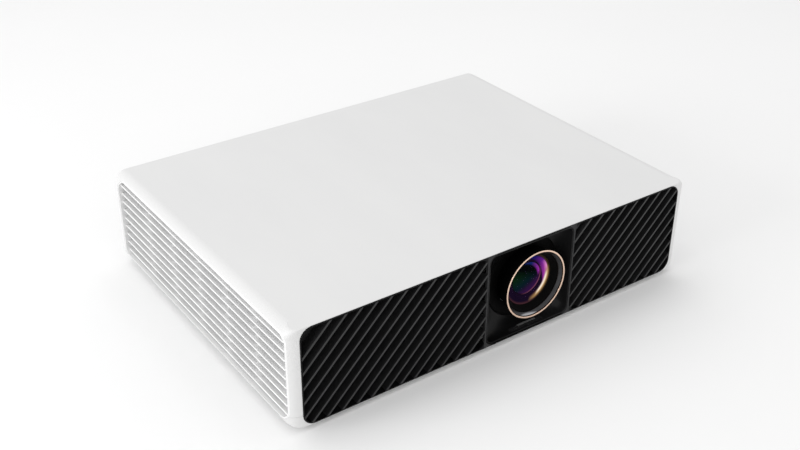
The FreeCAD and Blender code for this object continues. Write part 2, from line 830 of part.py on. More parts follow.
def louvre_insert(side):
    inner, outer = "%s-louvre_depth" % SIDE, OUTSIDE
    frame_block = louvre_prism("louvre_frame_" + side, side, "louvre_border-%s" % FIT,
                               "louvre_radius+louvre_border-%s" % FIT, inner, outer)
    field = louvre_prism("louvre_field_" + side, side, "0", "louvre_radius", "%s-1" % inner, "%s+1" % outer)
    border = cut("louvre_border_" + side, frame_block, [field])
    sign = "-" if side == "left" else ""

    def level_block(name, y, z, depth):
        ends = [sign + "(%s)" % inner, sign + "(%s)" % depth]
        return block(name, tuple(sorted(ends, key=size)), y, z)

    blades = []
    for number in range(int(size("louvre_count"))):
        middle = "foot_height+louvre_first+%d*louvre_pitch" % number
        blades.append(level_block("louvre_blade_%s_%d" % (side, number), ("-louvre_front-0.6",
                                                                          "louvre_rear+0.6"),
                                  ("%s-louvre_blade/2" % middle, "%s+louvre_blade/2" % middle),
                                  "%s-blade_inset" % SIDE))
    posts = []
    for number in range(LOUVRE_POSTS):
        middle = "-louvre_front+%d*(louvre_front+louvre_rear)/%d" % (number + 1, LOUVRE_POSTS + 1)
        posts.append(level_block("louvre_post_%s_%d" % (side, number),
                                 ("%s-louvre_post_width/2" % middle, "%s+louvre_post_width/2" % middle),
                                 ("foot_height+louvre_bottom-0.5", "foot_height+louvre_top+0.5"),
                                 "%s+louvre_post_depth" % inner))
    whole = fuse("louvre_whole_" + side, [border] + blades + posts)
    boundary = louvre_prism("louvre_limit_" + side, side, "louvre_border-%s" % FIT,
                            "louvre_radius+louvre_border-%s" % FIT, inner, outer)
    return common("louvre_" + side, [whole, inset_form, boundary])


def dust_filter(side):
    sign = "-" if side == "left" else ""
    outer = "%s-louvre_depth-filter_gap" % SIDE
    faces = [sign + "(%s)" % outer, sign + "(%s-filter_thickness)" % outer]
    return block("filter_pad_" + side, tuple(sorted(faces, key=size)), ("-filter_front", "filter_rear"),
                 ("filter_bottom", "filter_top"))


louvres = [louvre_insert(side) for side in ("left", "right")]
dust_filters = group("dust_filters", [dust_filter(side) for side in ("left", "right")])

# ---------------------------------------------------------------------------
# Front panel: a thin sleeve with two dividers, slatted grilles and their mesh
# ---------------------------------------------------------------------------
PANEL_FRONT = "(-case_depth/2-panel_proud)"
OPENING_U = grown(PANEL_U, "-panel_border")
OPENING_V = grown(PANEL_V, "-panel_border")
CENTRE_U = ("divider_left+divider_width/2", "divider_right-divider_width/2")
LEFT_U = ("-panel_half_width-20", "divider_left-divider_width/2")
RIGHT_U = ("divider_right+divider_width/2", "panel_half_width+20")


def panel_prism(name, margin, start, end):
    return prism(name, "y", [("rounded", grown(OPENING_U, margin), grown(OPENING_V, margin),
                              "panel_radius-panel_border+(%s)" % margin)], (start, end))


def grille_space(name, u, margin, start, end):
    """The part of the panel's opening on one side of the lens bezel."""
    whole = panel_prism(name + "_limit", margin, start, end)
    window = prism(name + "_window", "y", [("rounded", grown(u, margin), grown(OPENING_V, margin),
                                           "opening_radius+(%s)" % margin)], (start, end))
    return common(name, [whole, window])


panel_outer = prism("panel_outer", "y", [("rounded", PANEL_U, PANEL_V, "panel_radius")],
                    (PANEL_FRONT, PANEL_BACK))
panel_sleeve = panel_prism("panel_sleeve", "0", "%s+divider_depth" % PANEL_FRONT, "%s+1" % PANEL_BACK)
THROUGH_DIVIDERS = ("%s-1" % PANEL_FRONT, "%s+divider_depth+1" % PANEL_FRONT)
front_cuts = [grille_space("left_opening", LEFT_U, "0", *THROUGH_DIVIDERS),
              grille_space("right_opening", RIGHT_U, "0", *THROUGH_DIVIDERS),
              prism("centre_opening", "y", [("rounded", CENTRE_U, OPENING_V, "opening_radius")],
                    THROUGH_DIVIDERS)]
front_frame = cut("front_frame", panel_outer, [panel_sleeve] + front_cuts)

SLAT_BACK = "(-case_depth/2-panel_proud+slat_depth)"


def grille(side, u):
    """Slats at 45 degrees, joined by a ring set back from the front plane."""
    space = grille_space("grille_space_" + side, u, "-%s" % FIT, PANEL_FRONT, SLAT_BACK)
    ring_outer = grille_space("grille_ring_outer_" + side, u, "-%s" % FIT,
                              "%s+slat_ring_recess" % PANEL_FRONT,
                              SLAT_BACK)
    ring_inner = grille_space("grille_ring_inner_" + side, u, "-slat_ring_inset", PANEL_FRONT,
                              "%s+1" % SLAT_BACK)
    ring = cut("grille_ring_" + side, ring_outer, [ring_inner])
    left, right = [size(edge) for edge in u]
    left, right = max(left, -size("panel_half_width")), min(right, size("panel_half_width"))
    half_step = "slat_thickness*%.4f" % (math.sqrt(0.5) / 2)
    slats = []
    number = 0
    while size("slat_first-%d*slat_pitch" % number) > -right:
        crossing = "(slat_first-%d*slat_pitch)" % number
        if size(crossing) < size("case_height") - left:
            slat = doc.addObject("Part::Box", "slat_%s_%d" % (side, number))
            slat.Placement = Placement(Vector(), Rotation(Vector(0, 1, 0), -45))
            bind(slat, "Length", "slat_length")
            bind(slat, "Width", "slat_depth")
            bind(slat, "Height", "slat_thickness")
            # the slat starts below the case on the line where z - x is the crossing
            put(slat, "-%s-case_height/2+%s" % (crossing, half_step), PANEL_FRONT,
                "foot_height-case_height/2-%s" % half_step)
            slats.append(slat)
        number += 1
    trimmed = common("slats_in_space_" + side, [group("slats_" + side, slats), space])
    return fuse("grille_" + side, [ring, trimmed])


grilles = [grille("left", LEFT_U), grille("right", RIGHT_U)]
grille_mesh = group("grille_mesh", [grille_space("mesh_" + side, u, "-0.2", "%s+0.1" % SLAT_BACK,
                                                 "%s+0.1+mesh_thickness" % SLAT_BACK)
                                    for side, u in (("left", LEFT_U), ("right", RIGHT_U))])


# ---------------------------------------------------------------------------
# Lens bezel: a glossy funnel from the rounded opening to a round floor
# ---------------------------------------------------------------------------
CORNER_ARC = 30.0


def eight_edge_wire(left, right, low, high, curve, y):
    """Rounded rectangle as four lines and four quarter arcs, starting at the lower left."""
    middle_of_arc = curve * (1 - math.sqrt(0.5))
    edges = []
    corners = [(left, low, 1, 1), (right, low, -1, 1), (right, high, -1, -1), (left, high, 1, -1)]
    for index, (cx, cz, sx, sz) in enumerate(corners):
        entry = Vector(cx, y, cz + sz * curve) if index % 2 == 0 else Vector(cx + sx * curve, y, cz)
        leave = Vector(cx + sx * curve, y, cz) if index % 2 == 0 else Vector(cx, y, cz + sz * curve)
        through = Vector(cx + sx * middle_of_arc, y, cz + sz * middle_of_arc)
        edges.append(Part.Arc(entry, through, leave).toShape())
        nx, nz, nsx, nsz = corners[(index + 1) % 4]
        following = Vector(nx + nsx * curve, y, nz) if index % 2 == 0 else Vector(nx, y, nz + nsz * curve)
        edges.append(Part.LineSegment(leave, following).toShape())
    return Part.Wire(edges)


def eight_arc_circle(cx, cz, radius, y, corner_angle):
    """Circle cut into eight arcs that answer to the rounded rectangle's edges."""
    def point(degrees):
        turn = math.radians(degrees)
        return Vector(cx + radius * math.cos(turn), y, cz + radius * math.sin(turn))
    edges = []
    for quarter in range(4):
        middle = 225 + 90 * quarter
        spans = [(middle - corner_angle / 2, middle + corner_angle / 2),
                 (middle + corner_angle / 2, middle + 90 - corner_angle / 2)]
        for start, end in spans:
            edges.append(Part.Arc(point(start), point((start + end) / 2), point(end)).toShape())
    return Part.Wire(edges)


def funnel(margin, front, back, floor_radius):
    """Solid between the rounded opening at the front and a circle at the back."""
    left, right = [size(edge) for edge in grown(CENTRE_U, margin)]
    low, high = [size(edge) for edge in grown(OPENING_V, margin)]
    mouth = eight_edge_wire(left, right, low, high, size("opening_radius") + size(margin), front)
    floor = eight_arc_circle(size("lens_x"), size(LENS_Z), floor_radius, back, CORNER_ARC)
    return Part.makeLoft([mouth, floor], True, True)


mouth_y = size("%s+bezel_lip" % PANEL_FRONT)
floor_y = size(behind("bezel_depth"))
floor_back_y = size(behind("bezel_depth+bezel_floor_thickness"))
bezel_outer = funnel("-bezel_gap", mouth_y, floor_back_y, size("bezel_floor_radius+bezel_wall"))
bezel_inner = funnel("-bezel_gap-bezel_wall", mouth_y, floor_y, size("bezel_floor_radius"))
bezel_hole = Part.makeCylinder(size("bezel_hole_radius"), size("bezel_depth"),
                               Vector(size("lens_x"), floor_y - 1, size(LENS_Z)), Vector(0, 1, 0))
lens_bezel = doc.addObject("Part::Feature", "lens_bezel")
lens_bezel.Shape = bezel_outer.cut(bezel_inner).cut(bezel_hole)

# ---------------------------------------------------------------------------
# Lens: every turned piece is a profile of radius against depth behind the front plane
# ---------------------------------------------------------------------------
lens_ring = turned("lens_ring", [
    ("ring_inner", "-ring_proud"), ("ring_outer-ring_chamfer", "-ring_proud"),
    ("ring_outer", "ring_chamfer-ring_proud"), ("ring_outer", "ring_length-ring_proud"),
    ("ring_inner", "ring_length-ring_proud")], "y", LENS, FRONT)
hood_cone = turned("hood_cone", [
    ("ring_inner-%s" % FIT, "0"), ("cone_inner", "cone_depth"), ("cone_inner", "cone_depth+cone_wall"),
    ("ring_inner-%s" % FIT, "cone_depth+cone_wall")], "y", LENS, FRONT)
HOOD_FRONT = "(ring_length-ring_proud+glass_clearance)"
HOOD_STEP = "(cone_depth+cone_wall+%s)" % FIT
lens_hood = turned("lens_hood", [
    ("ring_inner", HOOD_FRONT), ("ring_outer-0.4", HOOD_FRONT), ("ring_outer-0.4", "hood_shoulder"),
    ("ring_outer-1.6", "hood_neck"), ("ring_outer-1.6", "hood_waist"), ("hood_rear_radius", "hood_flange"),
    ("hood_rear_radius", "hood_length"), ("slide_bore", "hood_length"), ("slide_bore", "throat_depth+0.4"),
    ("throat_radius", "throat_depth"), ("cone_inner-0.4", HOOD_STEP), ("ring_inner", HOOD_STEP)],
    "y", LENS, FRONT)


def lens_element(name, front_depth, thickness, radius, front_curve, rear_curve):
    """Glass with two convex faces; depths are measured behind the front plane."""
    edge = rod(name + "_edge", "y", LENS, (behind(front_depth), behind("%s+%s" % (front_depth, thickness))),
               radius)
    near = ball(name + "_near", ("lens_x", behind("%s+%s" % (front_depth, front_curve)), LENS_Z), front_curve)
    far = ball(name + "_far", ("lens_x", behind("%s+%s-%s" % (front_depth, thickness, rear_curve)), LENS_Z),
               rear_curve)
    return common(name, [edge, near, far])


front_element = lens_element("front_element", "front_glass_place", "front_glass_thickness", "element_radius",
                             "front_glass_near_curve", "front_glass_far_curve")
second_element = lens_element("second_element", "second_glass_place", "second_glass_thickness",
                              "second_glass_radius", "second_glass_near_curve", "second_glass_far_curve")
rear_element = lens_element("rear_element", "rear_glass_place", "rear_glass_thickness", "rear_glass_radius",
                            "rear_glass_curve", "rear_glass_curve")
CARRIER_FRONT = "(throat_depth+0.6)"
lens_carrier = turned("lens_carrier", [
    ("element_radius+glass_clearance", CARRIER_FRONT), ("carrier_radius", CARRIER_FRONT),
    ("carrier_radius", "carrier_end"), ("carrier_bore", "carrier_end"), ("carrier_bore", "carrier_seat"),
    ("second_glass_radius+glass_clearance", "carrier_seat"),
    ("second_glass_radius+glass_clearance", "second_glass_place-4"),
    ("element_radius+glass_clearance", "second_glass_place-7")], "y", LENS, FRONT)
BARREL_FRONT = "(hood_length+glass_clearance)"
barrel_tube = turned("barrel_tube", [
    ("slide_bore", BARREL_FRONT), ("barrel_radius", BARREL_FRONT), ("barrel_radius", "barrel_groove_front"),
    ("barrel_radius-barrel_groove", "barrel_groove_front"), ("barrel_radius-barrel_groove",
                                                             "barrel_groove_back"),
    ("barrel_radius", "barrel_groove_back"), ("barrel_radius", "barrel_end"),
    ("rear_glass_radius+glass_clearance", "barrel_end"), ("rear_glass_radius+glass_clearance",
                                                          "rear_glass_place-2"),
    ("slide_bore", "rear_glass_place-6")], "y", LENS, FRONT)


def gear(name, teeth, bore, width, across, front_depth, turn):
    """Spur gear with straight-sided teeth that leave a little backlash."""
    pitch_radius = "(%s*tooth_module/2)" % teeth
    body = new_body(name)
    pad(body, name + "_blank", "z", [("circle", ("0", "0"), "%s-1.1*tooth_module" % pitch_radius),
                                     ("circle", ("0", "0"), bore)], ("0", width))
    root, tip = "%s-1.4*tooth_module" % pitch_radius, "%s+0.75*tooth_module" % pitch_radius
    flank = [(root, "-0.85*tooth_module"), (tip, "-0.3*tooth_module"),
             (tip, "0.3*tooth_module"), (root, "0.85*tooth_module")]
    tooth = pad(body, name + "_tooth", "z", [("polygon", flank)], ("0", width))
    polar(body, tooth, int(size(teeth)))
    body.Placement = Placement(Vector(), AXIS_ROTATION["y"] * Rotation(Vector(0, 0, 1), turn))
    return put(body, across[0], behind(front_depth), across[1])


GEAR_DISTANCE = "((focus_teeth+pinion_teeth)*tooth_module/2)"
PINION = ("lens_x-%s" % GEAR_DISTANCE, LENS_Z)
focus_ring = gear("focus_ring", "focus_teeth", "barrel_radius-barrel_groove+gear_clearance", "gear_width",
                  LENS, "gear_front", 0.0)
motor_pinion = gear("motor_pinion", "pinion_teeth", "motor_shaft_radius+gear_clearance", "gear_width", PINION,
                    "gear_front", 180.0 / size("pinion_teeth"))
focus_motor = fuse("focus_motor", [
    rod("motor_can", "y", PINION, (behind("motor_front"), behind("motor_back")), "motor_radius"),
    rod("motor_boss", "y", PINION, (behind("motor_front-1"), behind("motor_front+0.5")), "motor_boss_radius"),
    rod("motor_shaft", "y", PINION, (behind("gear_front-1"), behind("motor_front")), "motor_shaft_radius")])
flange_plate = prism("flange_plate", "y", [("rounded", ("flange_left", "flange_right"),
                                            ("flange_bottom", "flange_top"), "flange_radius")],
                     (behind("flange_front"), behind("flange_front+flange_thickness")))
flange_bore = rod("flange_bore", "y", LENS, (behind("flange_front-1"),
                                             behind("flange_front+flange_thickness+1")),
                  "barrel_radius-1")
lens_barrel = fuse("lens_barrel", [barrel_tube, cut("barrel_flange", flange_plate, [flange_bore])])

# ---------------------------------------------------------------------------
# Light engine behind the lens
# ---------------------------------------------------------------------------
engine_outer = block("engine_outer", ("engine_left", "engine_right"),
                     (behind("engine_front"), behind("engine_back")), ("engine_bottom", "engine_top"))
engine_inner = block("engine_inner", ("engine_left+engine_wall", "engine_right-engine_wall"),
                     (behind("engine_front+engine_wall"), behind("engine_back-engine_wall")),
                     ("engine_bottom+engine_wall", "engine_top+engine_wall"))
engine_lens_hole = rod("engine_lens_hole", "y", LENS, (behind("engine_front-1"),
                                                       behind("engine_front+engine_wall+1")),
                       "engine_port_radius")
engine_chip_window = block("engine_chip_window", ("lens_x-chip_window_width", "lens_x+chip_window_width"),
                           (behind("engine_back-engine_wall-1"), behind("engine_back+1")),
                           ("%s-chip_window_height" % LENS_Z, "%s+chip_window_height" % LENS_Z))
engine_light_port = block("engine_light_port", ("engine_right-engine_wall-1", "engine_right+1"),
                          (behind("tunnel_centre-4"), behind("tunnel_centre+4")),
                          ("%s-tunnel_port" % LENS_Z, "%s+tunnel_port" % LENS_Z))
engine_housing = cut("engine_housing", engine_outer, [engine_inner, engine_lens_hole, engine_chip_window,
                                                      engine_light_port])
PRISM_LEVELS = ("%s-prism_half" % LENS_Z, "%s+prism_half" % LENS_Z)
imaging_prism = prism("imaging_prism", "x", [rectangle((behind("prism_front"), behind("prism_back")),
                                                       PRISM_LEVELS)],
                      ("lens_x-prism_half", "lens_x+prism_half"))


def tunnel_outline(half):
    return rectangle((behind("tunnel_centre-(%s)" % half), behind("tunnel_centre+(%s)" % half)),
                     ("%s-(%s)" % (LENS_Z, half), "%s+(%s)" % (LENS_Z, half)))


light_tunnel = new_body("light_tunnel")
pad(light_tunnel, "tunnel_walls", "x", [tunnel_outline(half) for half in ("tunnel_half-tunnel_wall",
                                                                          "tunnel_half")],
    ("tunnel_left", "tunnel_right"))
image_chip = block("image_chip", ("lens_x-chip_half_width", "lens_x+chip_half_width"),
                   (behind("chip_front"), behind("engine_back+0.5")),
                   ("%s-chip_half_height" % LENS_Z, "%s+chip_half_height" % LENS_Z))
board_blank = block("board_blank", ("lens_x-chip_board_half_width", "lens_x+chip_board_half_width"),
                    (behind("chip_board_front"), behind("chip_board_front+board_thickness")),
                    ("%s-chip_board_half_height" % LENS_Z, "%s+chip_board_half_height" % LENS_Z))
chip_board = fuse("chip_board", [image_chip, board_blank])

chip_heat_sink = new_body("chip_heat_sink")
SINK_LEVELS = ("%s-chip_sink_half" % LENS_Z, "%s+chip_sink_half" % LENS_Z)
CHIP_FIN_ROOT = "(chip_sink_front+chip_sink_base)"
pad(chip_heat_sink, "chip_sink_base_pad", "z", [
    rectangle(("lens_x-chip_sink_half", "lens_x+chip_sink_half"), (behind("chip_sink_front"),
                                                                   behind(CHIP_FIN_ROOT)))],
    SINK_LEVELS)
chip_fin = pad(chip_heat_sink, "chip_sink_fin", "z", [
    rectangle(("lens_x-chip_sink_half", "lens_x-chip_sink_half+chip_fin_thickness"),
              (behind("%s-0.5" % CHIP_FIN_ROOT), behind("%s+chip_fin_length" % CHIP_FIN_ROOT)))], SINK_LEVELS)
linear(chip_heat_sink, chip_fin, "X_Axis", "2*chip_sink_half-chip_fin_thickness", int(size("chip_fin_count")))

WHEEL_CENTRE = (behind("wheel_depth"), LENS_Z)
HUB_SPAN = ("wheel_place-wheel_hub_front", "wheel_place+wheel_hub_back")
phosphor_wheel = cut("phosphor_wheel", fuse("wheel_and_hub", [
    rod("wheel_disc", "x", WHEEL_CENTRE, ("wheel_place", "wheel_place+wheel_thickness"), "wheel_radius"),
    rod("wheel_hub", "x", WHEEL_CENTRE, HUB_SPAN, "wheel_hub_radius")]),
    [rod("wheel_bore", "x", WHEEL_CENTRE, ("%s-1" % HUB_SPAN[0], "%s+1" % HUB_SPAN[1]),
         "wheel_shaft_radius+glass_clearance")])
wheel_motor = fuse("wheel_motor", [
    rod("wheel_motor_can", "x", WHEEL_CENTRE, ("%s+0.5" % HUB_SPAN[1],
                                               "%s+0.5+wheel_motor_length" % HUB_SPAN[1]),
        "wheel_motor_radius"),
    rod("wheel_motor_shaft", "x", WHEEL_CENTRE, ("%s-0.5" % HUB_SPAN[0], "%s+1" % HUB_SPAN[1]),
        "wheel_shaft_radius")])

LASER_ROWS = 4
laser_plate = block("laser_plate", ("laser_left", "laser_right"), (behind("laser_front"),
                                                                   behind("laser_back")),
                    ("laser_bottom", "laser_top"))
laser_diodes = [rod("laser_diode_%d_%d" % (row, column), "x",
                    (behind("laser_first_depth+%d*laser_pitch" % row),
                     "%s+%.1f*laser_pitch" % (LENS_Z, column - (LASER_ROWS - 1) / 2)),
                    ("laser_left-laser_diode_length", "laser_left+0.5"), "laser_diode_radius")
                for row in range(LASER_ROWS) for column in range(LASER_ROWS)]
laser_bank = fuse("laser_bank", [laser_plate] + laser_diodes)
laser_sink_blank = new_body("laser_sink_blank")
SINK_SPAN = ("sink_bottom", "sink_top")
pad(laser_sink_blank, "laser_sink_base", "z", [
    rectangle(("sink_left", "sink_left+sink_base"), (behind("sink_front"), behind("sink_back")))], SINK_SPAN)
laser_fin = pad(laser_sink_blank, "laser_sink_fin", "z", [
    rectangle(("sink_left+sink_base-0.5", "sink_right"), (behind("sink_front"),
                                                          behind("sink_front+sink_fin")))],
    SINK_SPAN)
linear(laser_sink_blank, laser_fin, "Y_Axis", "sink_back-sink_front-sink_fin", int(size("sink_fin_count")))
PIPE_PLACES = [("pipe_x", "pipe_lowest+%d*pipe_pitch" % number) for number in range(3)]
pipe_bores = group("pipe_bores", [rod("pipe_bore_%d" % n, "y", place, (behind("sink_front-10"),
                                                                       behind("pipe_back+35")),
                                      "pipe_radius+glass_clearance") for n, place in enumerate(PIPE_PLACES)])
laser_heat_sink = cut("laser_heat_sink", laser_sink_blank, [pipe_bores])
heat_pipes = group("heat_pipes", [rod("heat_pipe_%d" % n, "y", place, (behind("pipe_front"),
                                                                       behind("pipe_back")),
                                      "pipe_radius") for n, place in enumerate(PIPE_PLACES)])
RADIATOR_FINS = 16


def radiator_fin(number):
    front = "radiator_front+%d*radiator_pitch" % number
    return block("radiator_fin_%d" % number, ("radiator_left", "radiator_right"),
                 (behind("(%s)" % front), behind("(%s+radiator_fin)" % front)), ("radiator_bottom",
                                                                                 "radiator_top"))


radiator_blank = group("radiator_blank", [radiator_fin(number) for number in range(RADIATOR_FINS)])
radiator_fins = cut("radiator_fins", radiator_blank, [pipe_bores])

# ---------------------------------------------------------------------------
# Fans: a square frame with a four-legged motor mount, and a bladed rotor
# ---------------------------------------------------------------------------
def fan_span(side, near, far):
    """Span on X at distances near and far inwards from the louvre filter."""
    ends = ["fan_face-(%s)" % near, "fan_face-(%s)" % far]
    if side == "left":
        ends = ["-(%s)" % end for end in ends]
    return tuple(sorted(ends, key=size))


def fan_frame(side, y):
    centre = (y, "foot_height+fan_height")
    body = block("fan_block_" + side, fan_span(side, "0", "fan_depth"),
                 ("%s-fan_size/2" % y, "%s+fan_size/2" % y),
                 ("%s-fan_size/2" % centre[1], "%s+fan_size/2" % centre[1]))
    bore = rod("fan_bore_" + side, "x", centre, fan_span(side, "-1", "fan_depth+1"), "fan_bore")
    leg_span = fan_span(side, "fan_depth-fan_leg", "fan_depth")
    legs = []
    for number in range(4):
        leg = doc.addObject("Part::Box", "fan_leg_%s_%d" % (side, number))
        leg.Placement = Placement(Vector(), Rotation(Vector(1, 0, 0), 45 + 90 * number))
        bind(leg, "Length", "fan_leg")
        bind(leg, "Width", "fan_bore+2")
        bind(leg, "Height", "fan_leg_width")
        put(leg, leg_span[0], centre[0], centre[1])
        legs.append(leg)
    plate = rod("fan_motor_plate_" + side, "x", centre, leg_span, "fan_hub_radius")
    screw_holes = []
    for number, (sy, sz) in enumerate([("-", "-"), ("-", "+"), ("+", "-"), ("+", "+")]):
        place = ("%s%s(fan_size/2-fan_screw_inset)" % (y, sy),
                 "%s%s(fan_size/2-fan_screw_inset)" % (centre[1], sz))
        screw_holes.append(rod("fan_screw_hole_%s_%d" % (side, number), "x", place,
                               fan_span(side, "-1", "fan_depth+1"), "fan_screw_radius"))
    ring = cut("fan_ring_" + side, body, [bore] + screw_holes)
    return fuse("fan_housing_" + side, [ring, plate] + legs)


BLADE_COUNT = 9
BLADE_OUTLINE = [("-5.2", "-4.4"), ("-3.8", "-5"), ("5.2", "4.4"), ("3.8", "5")]


def fan_rotor(side, y):
    """Hub cup with nine raked blades; its local Z lies along the fan's axis."""
    body = new_body("fan_rotor_" + side)
    pad(body, "fan_hub_" + side, "z", [("circle", ("0", "0"), "fan_hub_radius")], ("-fan_hub_half",
                                                                                   "fan_hub_half"))
    blade = pad(body, "fan_blade_" + side, "x", [("polygon", BLADE_OUTLINE)],
                ("fan_hub_radius-1.5", "fan_rotor_radius-fan_blade_gap"))
    polar(body, blade, BLADE_COUNT)
    body.Placement = Placement(Vector(), AXIS_ROTATION["x"])
    low, high = fan_span(side, "0.7", "12.3")
    return put(body, "((%s)+(%s))/2" % (low, high), y, "foot_height+fan_height")


FAN_PLACES = (("left", "fan_left_y"), ("right", "fan_right_y"))
fan_frames = group("fan_frames", [fan_frame(side, y) for side, y in FAN_PLACES])
fan_rotors = [fan_rotor(side, y) for side, y in FAN_PLACES]


# ---------------------------------------------------------------------------
# Speakers behind the grilles
# ---------------------------------------------------------------------------
def speaker(side, x):
    """Basket, magnet and moving cone, turned about the driver's own axis."""
    across = (x, "foot_height+speaker_height")
    basket = turned("speaker_basket_" + side, [
        ("speaker_radius-3", "0"), ("speaker_radius+1", "0"), ("speaker_radius+1", "1.5"),
        ("speaker_radius-1.4", "1.5"), ("speaker_radius-1.4", "5.8"), ("19", "15"), ("19", "speaker_depth-7"),
        ("15", "speaker_depth-7"), ("15", "speaker_depth-8.2"), ("17.8", "speaker_depth-8.2"), ("17.8",
                                                                                                "14.5"),
        ("speaker_radius-3", "5.5")],
        "y", across, behind("speaker_face"))
    magnet = turned("speaker_magnet_" + side, [
        ("0", "speaker_depth-6.9"), ("22", "speaker_depth-6.9"), ("22", "speaker_depth+1"),
        ("20", "speaker_depth+3"), ("0", "speaker_depth+3")], "y", across, behind("speaker_face"))
    cone = turned("speaker_cone_" + side, [
        ("0", "5.5"), ("6", "6.8"), ("9", "9.8"), ("25", "2.6"), ("26.5", "1.2"), ("28.5", "1.2"), ("29.5",
                                                                                                    "2.4"),
        ("29.3", "3.2"), ("26", "3.6"), ("12.6", "10.6"), ("12.6", "13.6"), ("0", "13.6")],
        "y", across, behind("speaker_face"))
    return basket, magnet, cone


baskets, magnets, speaker_cones = zip(speaker("left", "speaker_left_x"), speaker("right", "speaker_right_x"))
speaker_baskets = group("speaker_baskets", baskets)
speaker_magnets = group("speaker_magnets", magnets)

# ---------------------------------------------------------------------------
# Boards, rear panel and sockets
# ---------------------------------------------------------------------------
BOARD_TOP = "(board_level+board_thickness)"
main_board = block("main_board", ("main_board_left", "main_board_right"), ("main_board_front",
                                                                           "main_board_back"),
                   ("board_level", BOARD_TOP))
# corner on X, corner on Y and side of each square chip
MAIN_CHIPS = [(-40, 50, 24), (0, 56, 18), (40, 50, 20), (70, 86, 12), (-20, 96, 12), (20, 92, 14)]
board_chips = group("board_chips", [block("board_chip_%d" % n, ("%d" % x, "%d" % (x + side)),
                                          ("%d" % y, "%d" % (y + side)), ("%s+0.05" % BOARD_TOP,
                                                                          "%s+2" % BOARD_TOP))
                                    for n, (x, y, side) in enumerate(MAIN_CHIPS)])
power_board = block("power_board", ("power_board_left", "power_board_right"),
                    ("power_board_front", "power_board_back"),
                    ("power_board_level", "power_board_level+board_thickness"))
PARTS_LEVEL = "(power_board_level+board_thickness+%s)" % FIT
power_parts = group("power_parts", [
    rod("capacitor_large", "z", ("-140", "60"), (PARTS_LEVEL, "46"), "11"),
    rod("capacitor_small", "z", ("-118", "56"), (PARTS_LEVEL, "38"), "7"),
    block("transformer", ("-110", "-82"), ("70", "100"), (PARTS_LEVEL, "42")),
    block("choke", ("-150", "-130"), ("82", "100"), (PARTS_LEVEL, "36")),
    block("power_heat_sink", ("-122", "-119"), ("72", "108"), (PARTS_LEVEL, "44"))])

REAR_FACE = "(case_depth/2-rear_recess)"
REAR_INSIDE = "(case_depth/2-rear_recess-rear_plate)"
SOCKET_FLOOR = "%s+0.1" % BOARD_TOP


def socket_shell(name, x, width, height, depth, floor_lift, wall_thickness, tongue=None):
    """Open-fronted metal shell of a socket, with its plastic tongue if it has one."""
    low = "%s+%s" % (SOCKET_FLOOR, floor_lift)
    outer = block(name + "_outer", ("%s-%s/2" % (x, width), "%s+%s/2" % (x, width)),
                  ("%s-%s" % (REAR_FACE, depth), REAR_FACE), (low, "%s+%s" % (low, height)))
    hollow = block(name + "_hollow", ("%s-%s/2+%s" % (x, width, wall_thickness),
                                      "%s+%s/2-%s" % (x, width, wall_thickness)),
                   ("%s-%s+1.5" % (REAR_FACE, depth), "%s+1" % REAR_FACE),
                   ("%s+%s" % (low, wall_thickness), "%s+%s-%s" % (low, height, wall_thickness)))
    shell = cut(name + "_shell", outer, [hollow])
    if tongue is None:
        return shell
    tongue_width, tongue_low, tongue_high = tongue
    blade = block(name + "_tongue", ("%s-%s/2" % (x, tongue_width), "%s+%s/2" % (x, tongue_width)),
                  ("%s-%s+1" % (REAR_FACE, depth), "%s-2" % REAR_FACE),
                  ("%s+%s" % (low, tongue_low), "%s+%s" % (low, tongue_high)))
    return fuse(name + "_with_tongue", [shell, blade])


HDMI_X = ("-36", "-12")
HDMI_TONGUE = ("10", "2.3", "3.5")
USB_TONGUE = ("11", "3.4", "5.3")
USB_LIFTS = ("0.5", "7.6")
hdmi_sockets = group("hdmi_sockets", [socket_shell("hdmi_%d" % n, x, "hdmi_width", "hdmi_height",
                                                   "hdmi_depth",
                                                   "socket_wall", "socket_wall", HDMI_TONGUE)
                                      for n, x in enumerate(HDMI_X)])
usb_sockets = group("usb_sockets", [socket_shell("usb_%d" % n, "usb_x", "usb_width", "usb_height",
                                                 "usb_depth", lift,
                                                 "socket_wall", USB_TONGUE) for n,
                                                 lift in enumerate(USB_LIFTS)])
lan_socket = socket_shell("lan_socket_body", "lan_x", "lan_width", "lan_height", "lan_depth", "lan_lift",
                          "lan_wall")
lan_socket.Label = "lan_socket"
AUDIO_Z = "(%s+audio_height/2)" % SOCKET_FLOOR
audio_body = block("audio_body", ("audio_x-audio_half", "audio_x+audio_half"),
                   ("%s-audio_depth" % REAR_FACE, REAR_FACE), (SOCKET_FLOOR,
                                                               "%s+audio_height" % SOCKET_FLOOR))
audio_bore = rod("audio_bore", "y", ("audio_x", AUDIO_Z), ("%s-audio_bore_depth" % REAR_FACE,
                                                           "%s+1" % REAR_FACE),
                 "audio_bore_radius")
audio_socket = cut("audio_socket", audio_body, [audio_bore])


def inlet_outline(half_width, half_height, radius):
    return ("rounded", ("inlet_x-(%s)" % half_width, "inlet_x+(%s)" % half_width),
            ("inlet_level-(%s)" % half_height, "inlet_level+(%s)" % half_height), radius)


